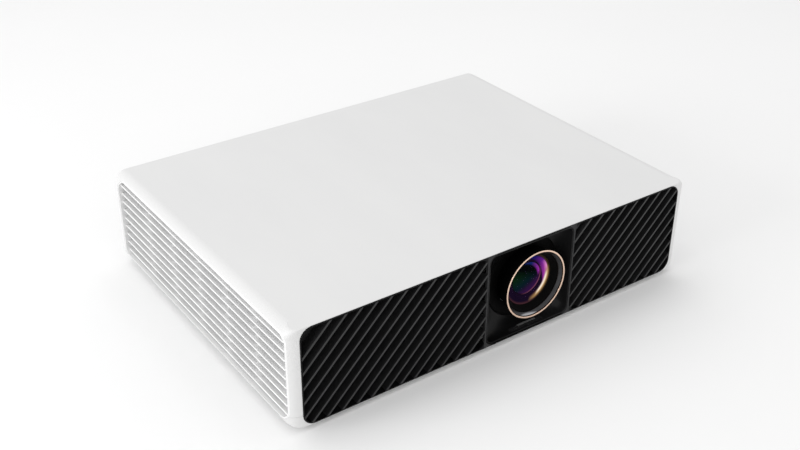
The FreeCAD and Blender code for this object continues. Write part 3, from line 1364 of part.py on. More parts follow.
inlet_body = prism("inlet_body", "y", [inlet_outline("inlet_half_width", "inlet_half_height", "3")],
                   ("%s-inlet_depth" % REAR_FACE, REAR_FACE))
inlet_hollow = prism("inlet_hollow", "y", [
    inlet_outline("inlet_hollow_width", "inlet_hollow_height", "inlet_hollow_radius")],
    ("%s-inlet_hollow_depth" % REAR_FACE, "%s+1" % REAR_FACE))
INLET_PINS = [("inlet_x-pin_offset", "inlet_level"), ("inlet_x+pin_offset", "inlet_level")]
inlet_pin_bores = [rod("inlet_pin_bore_%d" % n, "y", place,
                       ("%s-inlet_depth+1" % REAR_FACE, "%s-inlet_hollow_depth+1" % REAR_FACE),
                       "pin_radius+glass_clearance") for n, place in enumerate(INLET_PINS)]
power_inlet = cut("power_inlet", inlet_body, [inlet_hollow] + inlet_pin_bores)
inlet_pins = group("inlet_pins", [rod("inlet_pin_%d" % n, "y", place,
                                      ("%s-inlet_depth+1.1" % REAR_FACE, "%s-4" % REAR_FACE), "pin_radius")
                                  for n, place in enumerate(INLET_PINS)])

rear_panel = new_body("rear_panel")
pad(rear_panel, "rear_plate_pad", "y", [("rounded", grown(("-rear_half_width", "rear_half_width"), "-0.15"),
                                         grown(("foot_height+rear_bottom", "foot_height+rear_top"), "-0.15"),
                                         "1.5")], (REAR_INSIDE, REAR_FACE))
THROUGH_REAR = ("%s-1" % REAR_INSIDE, "%s+1" % REAR_FACE)


def hole_around(x, width, low, high, gap="0.2"):
    return rectangle(("%s-%s/2-%s" % (x, width, gap), "%s+%s/2+%s" % (x, width, gap)),
                     ("%s-%s" % (low, gap), "%s+%s" % (high, gap)))


socket_holes = [hole_around(x, "hdmi_width", "%s+socket_wall" % SOCKET_FLOOR,
                            "%s+socket_wall+hdmi_height" % SOCKET_FLOOR) for x in HDMI_X]
socket_holes.append(hole_around("usb_x", "usb_width", "%s+%s" % (SOCKET_FLOOR, USB_LIFTS[0]),
                                "%s+%s+usb_height" % (SOCKET_FLOOR, USB_LIFTS[1])))
socket_holes.append(hole_around("lan_x", "lan_width", "%s+lan_lift" % SOCKET_FLOOR,
                                "%s+lan_lift+lan_height" % SOCKET_FLOOR))
socket_holes.append(hole_around("audio_x", "(2*audio_half)", SOCKET_FLOOR, "%s+audio_height" % SOCKET_FLOOR))
socket_holes.append(inlet_outline("inlet_half_width+0.2", "inlet_half_height+0.2", "3.2"))
socket_holes.append(("circle", ("button_x", "button_level"), "button_radius+0.3"))
WINDOW_U = ("window_x-window_half_width", "window_x+window_half_width")
WINDOW_V = ("button_level-window_half_height", "button_level+window_half_height")
socket_holes.append(("rounded", WINDOW_U, WINDOW_V, "2"))
pocket(rear_panel, "rear_socket_holes", "y", socket_holes, THROUGH_REAR)
vent_slot = pocket(rear_panel, "rear_vent_slot", "y", [
    rectangle(("rear_vent_first", "rear_vent_first+rear_vent_width"), ("rear_vent_bottom", "rear_vent_top"))],
    THROUGH_REAR)
linear(rear_panel, vent_slot, "X_Axis", "rear_vent_span", int(size("rear_vent_count")))
power_button = turned("power_button", [
    ("0", "0.8"), ("1.5", "0.8"), ("button_radius-1", "0"), ("button_radius", "-0.6"), ("button_radius",
                                                                                        "-4.5"),
    ("button_skirt", "-4.5"), ("button_skirt", "-5.7"), ("2", "-5.7"), ("2", "-8"), ("0", "-8")],
    "y", ("button_x", "button_level"), REAR_FACE)
button_switch = fuse("button_switch", [
    block("switch_body", ("button_x-6", "button_x+6"), ("%s-14" % REAR_FACE, "%s-9.3" % REAR_FACE),
          ("button_level-6", "button_level+6")),
    block("switch_board", ("button_x-11", "button_x+36"),
          ("%s-14-board_thickness" % REAR_FACE, "%s-14" % REAR_FACE), ("button_level-9", "button_level+9"))])
remote_window = prism("remote_window", "y", [("rounded", grown(WINDOW_U, "-0.2"), grown(WINDOW_V, "-0.2"),
                                              "1.8")],
                      ("%s-0.5" % REAR_INSIDE, "%s-0.3" % REAR_FACE))

# ---------------------------------------------------------------------------
# Feet, inserts and screws
# ---------------------------------------------------------------------------
rear_feet = group("rear_feet", [rod("rear_foot_%d" % n, "z", place, ("0", "foot_height+foot_well_depth-0.05"),
                                    "foot_radius") for n, place in enumerate(REAR_FEET)])


def levelling_foot(side, place):
    """A rubber pad that moves down, and the threaded stud that turns on it."""
    rubber_pad = turned("foot_pad_" + side, [
        ("0", "0"), ("foot_radius-foot_chamfer", "0"), ("foot_radius", "foot_chamfer"),
        ("foot_radius", "pad_thickness"), ("pad_socket_radius", "pad_thickness"),
        ("pad_socket_radius", "pad_socket_floor"), ("0", "pad_socket_floor")], "z", place, "0")
    wheel_low, wheel_high = "(pad_thickness+%s)" % FIT, "(pad_thickness+%s+stud_wheel_height)" % FIT
    stud = turned("foot_stud_" + side, [
        ("0", "pad_socket_floor+glass_clearance"), ("pad_socket_radius-%s" % FIT,
                                                    "pad_socket_floor+glass_clearance"),
        ("pad_socket_radius-%s" % FIT, wheel_low), ("foot_radius-0.5", wheel_low), ("foot_radius-0.5",
                                                                                    wheel_high),
        ("stud_radius", wheel_high), ("stud_radius", "foot_height+stud_top-0.7"),
        ("stud_radius-0.6", "foot_height+stud_top"), ("0", "foot_height+stud_top")], "z", place, "0")
    return [rubber_pad, stud]


levelling_feet = levelling_foot("left", FRONT_FEET[0]) + levelling_foot("right", FRONT_FEET[1])


def tube(name, place, span, outer, inner):
    return cut(name, rod(name + "_rod", "z", place, span, outer),
               [rod(name + "_bore", "z", place, ("%s-1" % span[0], "%s+1" % span[1]), inner)])


ceiling_inserts = [tube("ceiling_insert_%d" % n, place, ("foot_height", "foot_height+insert_depth-%s" % FIT),
                        "insert_radius-0.02", "insert_bore") for n, place in enumerate(CEILING_HOLES)]
tripod_insert = tube("tripod_insert", TRIPOD, ("foot_height", "foot_height+tripod_depth-%s" % FIT),
                     "tripod_well_radius-0.02", "tripod_bore")
mount_inserts = group("mount_inserts", ceiling_inserts + [tripod_insert])


def screw(name, place):
    return cut(name, fuse(name + "_solid", [
        rod(name + "_head", "z", place, ("foot_height+0.3", "foot_height+head_well_depth-0.05"),
            "screw_head_radius"),
        rod(name + "_shank", "z", place, ("foot_height+head_well_depth-0.1", "foot_height+screw_length"),
            "screw_radius-0.02")]),
        [rod(name + "_recess", "z", place, ("foot_height", "foot_height+1.5"), "screw_recess_radius")])


case_screws = group("case_screws", [screw("case_screw_%d" % n, place) for n, place in enumerate(POSTS)])

# ---------------------------------------------------------------------------
# Check the document and write one STEP file for each sub-part
# ---------------------------------------------------------------------------
SUB_PARTS = [top_shell, bottom_tray, *louvres, dust_filters, front_frame, *grilles, grille_mesh, lens_bezel,
             lens_ring, hood_cone, lens_hood, front_element, second_element, rear_element, lens_carrier,
             lens_barrel, focus_ring, motor_pinion, focus_motor, engine_housing, imaging_prism,
             light_tunnel, chip_board, chip_heat_sink, phosphor_wheel, wheel_motor, laser_bank,
             laser_heat_sink, heat_pipes, radiator_fins, fan_frames, *fan_rotors, speaker_baskets,
             speaker_magnets, *speaker_cones, main_board, board_chips, power_board, power_parts, hdmi_sockets,
             usb_sockets, lan_socket, audio_socket, power_inlet, inlet_pins, rear_panel, power_button,
             button_switch, remote_window, rear_feet, *levelling_feet, mount_inserts, case_screws]

doc.recompute()
failed = [thing.Name for thing in doc.Objects if "Invalid" in thing.State or "Error" in thing.State]
if failed:
    raise RuntimeError("objects that did not compute: " + ", ".join(failed))
os.makedirs("parts", exist_ok=True)
for sub_part in SUB_PARTS:
    shape = sub_part.Shape
    if shape.isNull() or not shape.isValid() or shape.Volume <= 0:
        raise RuntimeError("bad shape: " + sub_part.Label)
for sub_part in SUB_PARTS:
    sub_part.Shape.exportStep("parts/%s.step" % sub_part.Label)
print("%d sub-parts written" % len(SUB_PARTS))
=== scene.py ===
import math
import bmesh
import bpy
from mathutils import Euler, Matrix, Vector


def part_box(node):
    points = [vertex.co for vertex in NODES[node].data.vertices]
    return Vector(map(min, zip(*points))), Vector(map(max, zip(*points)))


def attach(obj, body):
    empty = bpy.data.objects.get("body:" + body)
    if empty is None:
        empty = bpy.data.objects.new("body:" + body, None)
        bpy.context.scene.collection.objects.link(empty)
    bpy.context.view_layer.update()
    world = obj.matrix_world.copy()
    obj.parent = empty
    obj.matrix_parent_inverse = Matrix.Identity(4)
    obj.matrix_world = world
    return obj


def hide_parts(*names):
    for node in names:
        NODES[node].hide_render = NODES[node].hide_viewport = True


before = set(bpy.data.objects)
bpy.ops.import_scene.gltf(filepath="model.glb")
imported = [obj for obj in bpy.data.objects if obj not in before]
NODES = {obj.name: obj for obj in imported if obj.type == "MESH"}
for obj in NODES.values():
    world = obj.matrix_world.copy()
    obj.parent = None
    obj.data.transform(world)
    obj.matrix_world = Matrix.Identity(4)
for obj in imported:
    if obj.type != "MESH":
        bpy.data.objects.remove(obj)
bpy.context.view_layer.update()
MM = 0.001


def middle_of(node):
    low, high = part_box(node)
    return tuple((low[axis] + high[axis]) / 2 for axis in range(3))


def grey(level):
    return (level, level, level)


# Places that the front pieces share, all read from the CAD nodes' boxes
LENS_CENTRE = middle_of("lens_ring")
FRONT_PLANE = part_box("top_shell")[0][1]
BEZEL_LOW, BEZEL_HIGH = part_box("lens_bezel")

# ---------------------------------------------------------------------------
# Camera at the photograph's viewing angle, studio light and a pale floor
# ---------------------------------------------------------------------------
CAMERA_AZIMUTH = 35.28
CAMERA_ELEVATION = 30.186
CAMERA_ROLL = 0.236
CAMERA_PLACE = (-0.4681, -0.6634, 0.5112)
CAMERA_LENS = 50.53
CAMERA_SENSOR = 36.0
CAMERA_NEAR = 0.01

WORLD_LIGHT = 0.82
CASE_MIDDLE = (0, 0, 0.05)
WHITE_LIGHT = (1, 1, 1)
WARM_LIGHT = (1.0, 0.95, 0.88)
# Name, place, target, width, height, watts and colour of each softbox
SOFTBOXES = (
    ("top_softbox", (0.0, 0.2, 1.7), CASE_MIDDLE, 1.4, 1.2, 4.6, WHITE_LIGHT),
    ("left_softbox", (-1.6, 0.1, 0.55), CASE_MIDDLE, 1.0, 0.7, 10.5, WHITE_LIGHT),
    ("lens_softbox", (-0.05, -1.35, 0.35), LENS_CENTRE, 0.35, 0.5, 0.6, WARM_LIGHT),
)
FLOOR_REACH = 6.0
FLOOR_GAP = 0.0002


def make_camera():
    data = bpy.data.cameras.new("camera")
    data.lens = CAMERA_LENS
    data.sensor_width = CAMERA_SENSOR
    data.clip_start = CAMERA_NEAR
    camera = bpy.data.objects.new("camera", data)
    bpy.context.scene.collection.objects.link(camera)
    aim = Euler((math.radians(90 - CAMERA_ELEVATION), 0, math.radians(-CAMERA_AZIMUTH))).to_matrix()
    roll = Matrix.Rotation(math.radians(CAMERA_ROLL), 3, "Z")
    camera.matrix_world = Matrix.Translation(CAMERA_PLACE) @ (aim @ roll).to_4x4()
    bpy.context.scene.camera = camera


def area_light(name, place, target, width, height, power, tint):
    data = bpy.data.lights.new(name, "AREA")
    data.shape = "RECTANGLE"
    data.size = width
    data.size_y = height
    data.energy = power
    data.color = tint
    light = bpy.data.objects.new(name, data)
    bpy.context.scene.collection.objects.link(light)
    light.location = place
    light.rotation_euler = (Vector(target) - Vector(place)).to_track_quat("-Z", "Y").to_euler()


def make_studio():
    world = bpy.data.worlds.new("studio")
    world.use_nodes = True
    background = world.node_tree.nodes["Background"]
    background.inputs["Color"].default_value = (1.0, 1.0, 1.0, 1.0)
    background.inputs["Strength"].default_value = WORLD_LIGHT
    bpy.context.scene.world = world
    bpy.context.scene.view_settings.view_transform = "Standard"
    for softbox in SOFTBOXES:
        area_light(*softbox)
    floor_mesh = bpy.data.meshes.new("floor")
    builder = bmesh.new()
    bmesh.ops.create_grid(builder, x_segments=1, y_segments=1, size=FLOOR_REACH)
    builder.to_mesh(floor_mesh)
    builder.free()
    floor = bpy.data.objects.new("floor", floor_mesh)
    bpy.context.scene.collection.objects.link(floor)
    floor.location.z = -FLOOR_GAP
    floor_mesh.materials.append(floor_material())


# ---------------------------------------------------------------------------
# Material helpers
# ---------------------------------------------------------------------------
class Shader:
    """A node material round one Principled shader, with shorthands for the usual nodes."""

    def __init__(self, name, colour, roughness, metallic=0.0):
        self.material = bpy.data.materials.new(name)
        self.material.use_nodes = True
        self.tree = self.material.node_tree
        self.shader = self.tree.nodes["Principled BSDF"]
        self.set("Base Color", (*colour, 1.0))
        self.set("Roughness", roughness)
        self.set("Metallic", metallic)
        self.coords = self.add("ShaderNodeTexCoord").outputs["Object"]
        self.height = None

    def add(self, kind, **properties):
        node = self.tree.nodes.new(kind)
        for key, value in properties.items():
            setattr(node, key, value)
        return node

    def set(self, socket, value):
        self.shader.inputs[socket].default_value = value

    def link(self, source, target):
        self.tree.links.new(source, target)

    def place(self, axis):
        """One of the object coordinates, in metres."""
        node = self.add("ShaderNodeSeparateXYZ")
        self.link(self.coords, node.inputs["Vector"])
        return node.outputs[axis]

    def radius(self, across=0.0, up=0.0):
        """Distance from a line parallel to the lens axis, which may be moved off it, in metres."""
        flat = self.add("ShaderNodeVectorMath", operation="MULTIPLY")
        flat.inputs[1].default_value = (1.0, 0.0, 1.0)
        self.link(self.coords, flat.inputs[0])
        distance = self.add("ShaderNodeVectorMath", operation="DISTANCE")
        distance.inputs[1].default_value = (LENS_CENTRE[0] + across, 0.0, LENS_CENTRE[2] + up)
        self.link(flat.outputs["Vector"], distance.inputs[0])
        return distance.outputs["Value"]

    def towards(self, degrees):
        """Distance from the lens axis towards an angle round it, in metres."""
        turn = math.radians(degrees)
        moved = self.add("ShaderNodeVectorMath", operation="SUBTRACT")
        moved.inputs[1].default_value = LENS_CENTRE
        self.link(self.coords, moved.inputs[0])
        along = self.add("ShaderNodeVectorMath", operation="DOT_PRODUCT")
        along.inputs[1].default_value = (math.cos(turn), 0.0, math.sin(turn))
        self.link(moved.outputs["Vector"], along.inputs[0])
        return along.outputs["Value"]

    def rings(self, pitch):
        """Rings round the lens axis, pitch metres apart, from -1 to 1."""
        turns = self.add("ShaderNodeMath", operation="MULTIPLY")
        turns.inputs[1].default_value = 2 * math.pi / pitch
        self.link(self.radius(), turns.inputs[0])
        wave = self.add("ShaderNodeMath", operation="SINE")
        self.link(turns.outputs["Value"], wave.inputs[0])
        return wave.outputs["Value"]

    def product(self, *sources):
        """Sources multiplied together."""
        result = sources[0]
        for source in sources[1:]:
            node = self.add("ShaderNodeMath", operation="MULTIPLY")
            self.link(result, node.inputs[0])
            self.link(source, node.inputs[1])
            result = node.outputs["Value"]
        return result

    def over(self, below, colour, mask):
        """Colour laid over another colour where the mask is one."""
        node = self.add("ShaderNodeMixRGB")
        self.link(mask, node.inputs["Fac"])
        self.link(below, node.inputs["Color1"])
        self.link(colour, node.inputs["Color2"])
        return node.outputs["Color"]

    def scaled(self, scale):
        """Object coordinates multiplied by three numbers."""
        node = self.add("ShaderNodeMapping")
        node.inputs["Scale"].default_value = scale
        self.link(self.coords, node.inputs["Vector"])
        return node.outputs["Vector"]

    def noise(self, size, detail=4.0, roughness=0.55, stretch=(1, 1, 1)):
        """Noise whose features are about size metres across."""
        node = self.add("ShaderNodeTexNoise")
        node.inputs["Scale"].default_value = 1.0
        node.inputs["Detail"].default_value = detail
        node.inputs["Roughness"].default_value = roughness
        self.link(self.scaled(tuple(part / size for part in stretch)), node.inputs["Vector"])
        return node.outputs["Fac"]

    def voronoi(self, size, feature="F1", randomness=1.0):
        """Distances inside cells that are about size metres across."""
        node = self.add("ShaderNodeTexVoronoi", feature=feature)
        node.inputs["Scale"].default_value = 1.0
        node.inputs["Randomness"].default_value = randomness
        self.link(self.scaled((1 / size,) * 3), node.inputs["Vector"])
        return node.outputs["Distance"]

    def ramp(self, source, low, high, start=0.3, end=0.7):
        """Maps source between two numbers or two colours."""
        if not isinstance(low, (int, float)):
            node = self.add("ShaderNodeValToRGB")
            first, last = node.color_ramp.elements
            first.color, last.color = (*low, 1.0), (*high, 1.0)
            self.link(self.ramp(source, 0.0, 1.0, start, end), node.inputs["Fac"])
            return node.outputs["Color"]
        node = self.add("ShaderNodeMapRange")
        for key, value in zip(("From Min", "From Max", "To Min", "To Max"), (start, end, low, high)):
            node.inputs[key].default_value = value
        self.link(source, node.inputs["Value"])
        return node.outputs["Result"]

    def fade(self, source, none_at, full_at):
        """Mask that goes from zero to one between two values of source."""
        return self.ramp(source, 0.0, 1.0, none_at, full_at)

    def colour(self, source, low, high, start=0.3, end=0.7):
        self.link(self.ramp(source, low, high, start, end), self.shader.inputs["Base Color"])

    def roughness(self, source, low, high, start=0.3, end=0.7):
        self.link(self.ramp(source, low, high, start, end), self.shader.inputs["Roughness"])

    def bump(self, source, strength, distance=0.0001):
        """Adds one more layer of relief on top of the earlier ones."""
        node = self.add("ShaderNodeBump")
        node.inputs["Strength"].default_value = strength
        node.inputs["Distance"].default_value = distance
        self.link(source, node.inputs["Height"])
        if self.height:
            self.link(self.height, node.inputs["Normal"])
        self.height = node.outputs["Normal"]
        self.link(self.height, self.shader.inputs["Normal"])


# ---------------------------------------------------------------------------
# Materials. Texture sizes and relief heights are in metres, as the shader nodes take them.
# ---------------------------------------------------------------------------
def floor_material():
    """Pale paper with a very faint unevenness."""
    paper = Shader("floor_paper", grey(0.93), 0.9)
    paper.colour(paper.noise(0.4), grey(0.925), grey(0.94))
    paper.bump(paper.noise(0.004), 0.05, 0.0002)
    return paper.material


def darker(colour, share):
    """Colour with each part multiplied by a share."""
    return tuple(part * share for part in colour)


def moulded_plastic(name, dark, light, roughness, grain=0.0006, depth=0.25, coat=0.0, specular=0.5):
    """Injection-moulded plastic: fine grain, faint flow marks, uneven gloss and a slight waviness."""
    plastic = Shader(name, light, roughness)
    plastic.set("Specular IOR Level", specular)
    if coat:
        plastic.set("Coat Weight", coat)
        plastic.set("Coat Roughness", 0.04)
    flow = plastic.noise(0.05, 3.0, 0.5, (1.0, 0.35, 1.0))
    plastic.colour(flow, dark, light, 0.25, 0.75)
    gloss = plastic.noise(0.018, 5.0, 0.6)
    plastic.roughness(gloss, roughness * 0.9, min(1.0, roughness * 1.12))
    plastic.bump(plastic.noise(grain, 2.0, 0.6), depth, 0.00003)
    plastic.bump(plastic.noise(0.06, 1.0), 0.08, 0.0002)
    return plastic.material


def plated_metal(name, colour, roughness):
    """Polished, plated metal with a very fine grain."""
    metal = Shader(name, colour, roughness, 1.0)
    metal.colour(metal.noise(0.006, 3.0, 0.5), darker(colour, 0.88), colour)
    metal.roughness(metal.noise(0.0015, 3.0), roughness * 0.85, roughness * 1.2)
    metal.bump(metal.noise(0.00025, 1.0, 0.5), 0.3, 0.00001)
    return metal.material


def cast_metal(name, colour, roughness):
    """Cast metal with a coarse, pitted skin."""
    metal = Shader(name, colour, roughness, 1.0)
    metal.colour(metal.noise(0.01), darker(colour, 0.8), colour)
    metal.roughness(metal.noise(0.004), roughness * 0.85, min(1.0, roughness * 1.2))
    metal.bump(metal.noise(0.0008, 4.0, 0.7), 0.4, 0.00008)
    return metal.material


def brushed_metal(name, colour, roughness, stretch):
    """Metal with streaks that run along the axis with the smallest stretch."""
    metal = Shader(name, colour, roughness, 1.0)
    streaks = metal.noise(0.0012, 3.0, 0.6, stretch)
    metal.colour(streaks, darker(colour, 0.85), colour)
    metal.roughness(streaks, roughness * 0.8, roughness * 1.25)
    metal.bump(streaks, 0.15, 0.00003)
    return metal.material


def rubber(name):
    """Dull black rubber with a fine grain."""
    skin = Shader(name, grey(0.02), 0.8)
    skin.colour(skin.noise(0.003), grey(0.014), (0.03, 0.03, 0.031))
    skin.roughness(skin.noise(0.0012), 0.7, 0.92)
    skin.bump(skin.noise(0.0004, 4.0), 0.4, 0.00006)
    return skin.material


def circuit_board(name):
    """Green board with a net of copper tracks under its lacquer."""
    board = Shader(name, (0.01, 0.09, 0.05), 0.35)
    tracks = board.voronoi(0.0035, "DISTANCE_TO_EDGE")
    board.colour(tracks, (0.03, 0.17, 0.09), (0.008, 0.075, 0.04), 0.04, 0.09)
    board.roughness(board.noise(0.004), 0.28, 0.42)
    board.bump(tracks, 0.3, 0.00005)
    return board.material


def foam(name):
    """Open-celled black filter foam, with painted shade that darkens the middle of each cell."""
    pad = Shader(name, grey(0.02), 0.95)
    cells = pad.voronoi(0.0016)
    # Painted shade: each cell is darker towards its middle
    pad.colour(cells, grey(0.006), (0.035, 0.035, 0.036), 0.1, 0.6)
    pad.roughness(pad.noise(0.002), 0.85, 1.0)
    pad.bump(cells, 0.8, 0.0008)
    return pad.material


def coated_glass(name, tint):
    """Optical glass whose anti-reflection coating colours what it mirrors; the film is in nanometres."""
    glass = Shader(name, tint, 0.01)
    glass.set("Transmission Weight", 1.0)
    glass.set("IOR", 1.6)
    glass.set("Thin Film Thickness", 460.0)
    glass.set("Thin Film IOR", 1.9)
    glass.colour(glass.noise(0.01), darker(tint, 0.99), tint)
    return glass.material


def clear_front_glass(name):
    """Nearly clear coated glass that only adds a faint violet veil."""
    glass = Shader(name, (0.01, 0.004, 0.016), 0.03)
    glass.set("Alpha", 0.03)
    glass.set("Specular IOR Level", 0.0)
    glass.colour(glass.noise(0.01), (0.006, 0.004, 0.012), (0.012, 0.004, 0.018))
    return glass.material


def perforated(name):
    """Black sheet metal with rows of small punched holes, drawn as darker spots with relief; their dark is
    painted shade.
    """
    sheet = Shader(name, grey(0.01), 0.5)
    holes = sheet.voronoi(0.0016, randomness=0.0)
    # Painted shade: the holes are darker spots in the colour
    sheet.colour(holes, grey(0.0008), (0.009, 0.009, 0.0095), 0.34, 0.40)
    sheet.roughness(sheet.noise(0.003), 0.45, 0.6)
    sheet.bump(holes, 0.6, 0.0003)
    return sheet.material


def bezel_plastic(name):
    """Satin black of the bezel, with painted shade: darker on the left of the lens and lighter on the right.
    """
    plastic = Shader(name, (0.008, 0.008, 0.0085), 0.34)
    plastic.set("Specular IOR Level", 0.2)
    # Painted shade and light: the colour ramps from darker at the bezel's left to lighter at its right
    plastic.colour(plastic.place("X"), (0.0025, 0.0025, 0.0027), (0.013, 0.013, 0.0135),
                   BEZEL_LOW[0], BEZEL_HIGH[0])
    plastic.roughness(plastic.noise(0.012), 0.3, 0.4)
    plastic.bump(plastic.noise(0.002, 2.0), 0.03, 0.00003)
    return plastic.material


def frame_plastic(name):
    """Deep black front frame, with a painted highlight that makes the two dividers beside the lens and the
    fillets at their ends greyer.
    """
    plastic = Shader(name, grey(0.003), 0.45)
    plastic.set("Specular IOR Level", 0.12)
    across = plastic.place("X")
    colour = plastic.ramp(plastic.noise(0.004), (0.003, 0.003, 0.0033), (0.0045, 0.0045, 0.005))
    # Painted highlight: lighter grey laid on the dividers beside the lens and on their fillets
    divider_highlight = plastic.ramp(plastic.noise(0.004), (0.030, 0.030, 0.031), (0.036, 0.036, 0.037))
    for edge, outwards in ((BEZEL_LOW[0], -1), (BEZEL_HIGH[0], 1)):
        beside_slats = plastic.fade(across, edge + outwards * 2.1 * MM, edge + outwards * 1.9 * MM)
        beside_lens = plastic.fade(across, edge - outwards * 7.0 * MM, edge - outwards * 4.0 * MM)
        colour = plastic.over(colour, divider_highlight, plastic.product(beside_slats, beside_lens))
    plastic.link(colour, plastic.shader.inputs["Base Color"])
    plastic.bump(plastic.noise(0.0004), 0.1, 0.00002)
    return plastic.material


# ---------------------------------------------------------------------------
# Reflections and highlights of the coated lenses, painted as glowing colour by masks round the lens axis.
# Radii and distances are in mm;
# angles are in degrees anticlockwise from the right, as seen from the front.
# ---------------------------------------------------------------------------
UPPER_RIGHT = 32
LOWER_RIGHT = -40
LOWER_LEFT = 245


def between_radii(glass, inner, outer, low, high):
    """Colour or number that changes with the distance from the lens axis."""
    return glass.ramp(glass.radius(), low, high, inner * MM, outer * MM)


def across_lens(glass, degrees, start, end, low, high):
    """Colour or number that changes towards an angle, between two distances from the lens axis."""
    return glass.ramp(glass.towards(degrees), low, high, start * MM, end * MM)


def fade_towards(glass, degrees, none_at, full_at):
    """Mask that fades in towards an angle, or out if none_at is the greater."""
    return glass.fade(glass.towards(degrees), none_at * MM, full_at * MM)


def crescent(glass, outer, inner, shift, edge=0.6):
    """Mask between a circle round the lens axis and a wider circle moved to the lower left."""
    turn = math.radians(UPPER_RIGHT + 180)
    inside_outer = glass.fade(glass.radius(), outer * MM, (outer - edge) * MM)
    from_moved = glass.radius(shift * MM * math.cos(turn), shift * MM * math.sin(turn))
    outside_inner = glass.fade(from_moved, (inner - edge) * MM, (inner + edge) * MM)
    return glass.product(inside_outer, outside_inner)


def arc(glass, inner, outer, degrees, start, end, edge=0.35):
    """Mask of a band between two radii that fades in towards an angle."""
    outside_inner = glass.fade(glass.radius(), (inner - edge) * MM, (inner + edge) * MM)
    inside_outer = glass.fade(glass.radius(), (outer + edge) * MM, (outer - edge) * MM)
    return glass.product(outside_inner, inside_outer, fade_towards(glass, degrees, start, end))


def glow_painted_reflections(glass, colour):
    """Makes dark glass glow steadily with the painted reflections, by emission, and takes away its own
    specular reflection.
    """
    glass.link(colour, glass.shader.inputs["Emission Color"])
    glass.set("Emission Strength", 1.0)
    glass.set("Specular IOR Level", 0.0)
    return glass.material


def bowl_painted_reflections(name):
    """Rear bowl of the front lens group, with painted reflections that glow: dark violet with a magenta
    crescent and a bright gold arc.
    """
    glass = Shader(name, (0.002, 0.001, 0.003), 0.25)
    colour = glass.ramp(glass.rings(1.2 * MM), (0.003, 0.0015, 0.006), (0.016, 0.006, 0.026), -0.4, 1.0)

    # Painted reflection: a dim rim line towards the lower left
    low_rim = between_radii(glass, 19.4, 20.9, (0.006, 0.003, 0.012), (0.05, 0.018, 0.022))
    colour = glass.over(colour, low_rim, fade_towards(glass, LOWER_LEFT, 10.0, 20.0))

    # Painted reflection: the magenta crescent at the upper right
    violet = across_lens(glass, LOWER_RIGHT, -6.0, 6.0, (0.008, 0.006, 0.10), (0.15, 0.015, 0.26))
    pink = between_radii(glass, 17.2, 19.6, (0.34, 0.04, 0.36), (0.95, 0.34, 0.66))
    magenta = glass.over(violet, pink, fade_towards(glass, LOWER_RIGHT, 3.0, 10.5))
    outer_side = between_radii(glass, 14.5, 17.5, 0.3, 1.0)
    colour = glass.over(colour, magenta, glass.product(crescent(glass, 19.9, 25.1, 10.6), outer_side))

    # Painted highlight: gold lines, a gold arc and a white core towards the lower right
    gold_lines = glass.ramp(glass.rings(1.0 * MM), (0.010, 0.005, 0.003), (0.14, 0.09, 0.03), 0.0, 1.0)
    colour = glass.over(colour, gold_lines, arc(glass, 20.1, 21.4, -5, 3.0, 16.0))
    gold = between_radii(glass, 17.0, 20.0, (0.16, 0.06, 0.05), (0.42, 0.25, 0.09))
    colour = glass.over(colour, gold, arc(glass, 17.9, 20.2, -32, 11.5, 16.6, 0.6))
    white = between_radii(glass, 17.8, 19.6, (1.0, 0.92, 0.85), (0.95, 0.74, 0.46))
    colour = glass.over(colour, white, arc(glass, 18.1, 19.4, -29, 15.6, 17.6, 0.5))
    return glow_painted_reflections(glass, colour)


def core_painted_reflections(name):
    """Middle lens with painted reflections that glow: green to violet in the dark, with a blue and magenta
    crescent.
    """
    glass = Shader(name, (0.001, 0.002, 0.002), 0.25)
    colour = across_lens(glass, -60, -8.0, 2.0, (0.0030, 0.016, 0.0040), (0.0020, 0.010, 0.016))
    violet = across_lens(glass, -60, 3.0, 13.0, (0.008, 0.005, 0.02), (0.034, 0.006, 0.055))
    colour = glass.over(colour, violet, fade_towards(glass, -60, 1.0, 7.0))
    night = between_radii(glass, 0.0, 14.0, (0.0010, 0.0012, 0.0020), (0.0008, 0.0008, 0.0012))
    colour = glass.over(colour, night, fade_towards(glass, 75, -1.0, 7.0))

    # Painted reflection: the blue and magenta crescent
    magenta = across_lens(glass, -45, -5.0, 8.0, (0.008, 0.018, 0.13), (0.40, 0.03, 0.44))
    outer_side = between_radii(glass, 9.5, 13.0, 0.25, 1.0)
    upper_side = fade_towards(glass, -60, 7.5, 3.0)
    mask = glass.product(crescent(glass, 13.7, 16.6, 6.3), outer_side, upper_side)
    colour = glass.over(colour, magenta, mask)
    return glow_painted_reflections(glass, colour)


def rim_painted_reflection(name):
    """Edge of the middle lens with a glowing painted reflection, pink towards the lower right and black
    elsewhere.
    """
    glass = Shader(name, (0.002, 0.001, 0.002), 0.3)
    return glow_painted_reflections(glass, across_lens(glass, -38, 4.0, 14.0, (0.004, 0.002, 0.005), (0.17, 0.05, 0.09)))


def satin_cone_metal(name):
    """Dark turned cone with fine rings, and a painted highlight: a pale ringed streak at the bottom."""
    metal = Shader(name, (0.11, 0.11, 0.113), 0.3, 1.0)
    dark = metal.ramp(metal.noise(0.006, 3.0, 0.5), (0.052, 0.052, 0.055), (0.068, 0.068, 0.071))
    # Painted highlight: a pale streak laid over the bottom of the cone
    pale = metal.ramp(metal.rings(0.4 * MM), (0.34, 0.34, 0.36), (0.52, 0.52, 0.54), -1.0, 1.0)
    colour = metal.over(dark, pale, fade_towards(metal, -100, 25.5, 26.4))
    metal.link(colour, metal.shader.inputs["Base Color"])
    metal.bump(metal.rings(0.3 * MM), 0.2, 0.00001)
    return metal.material


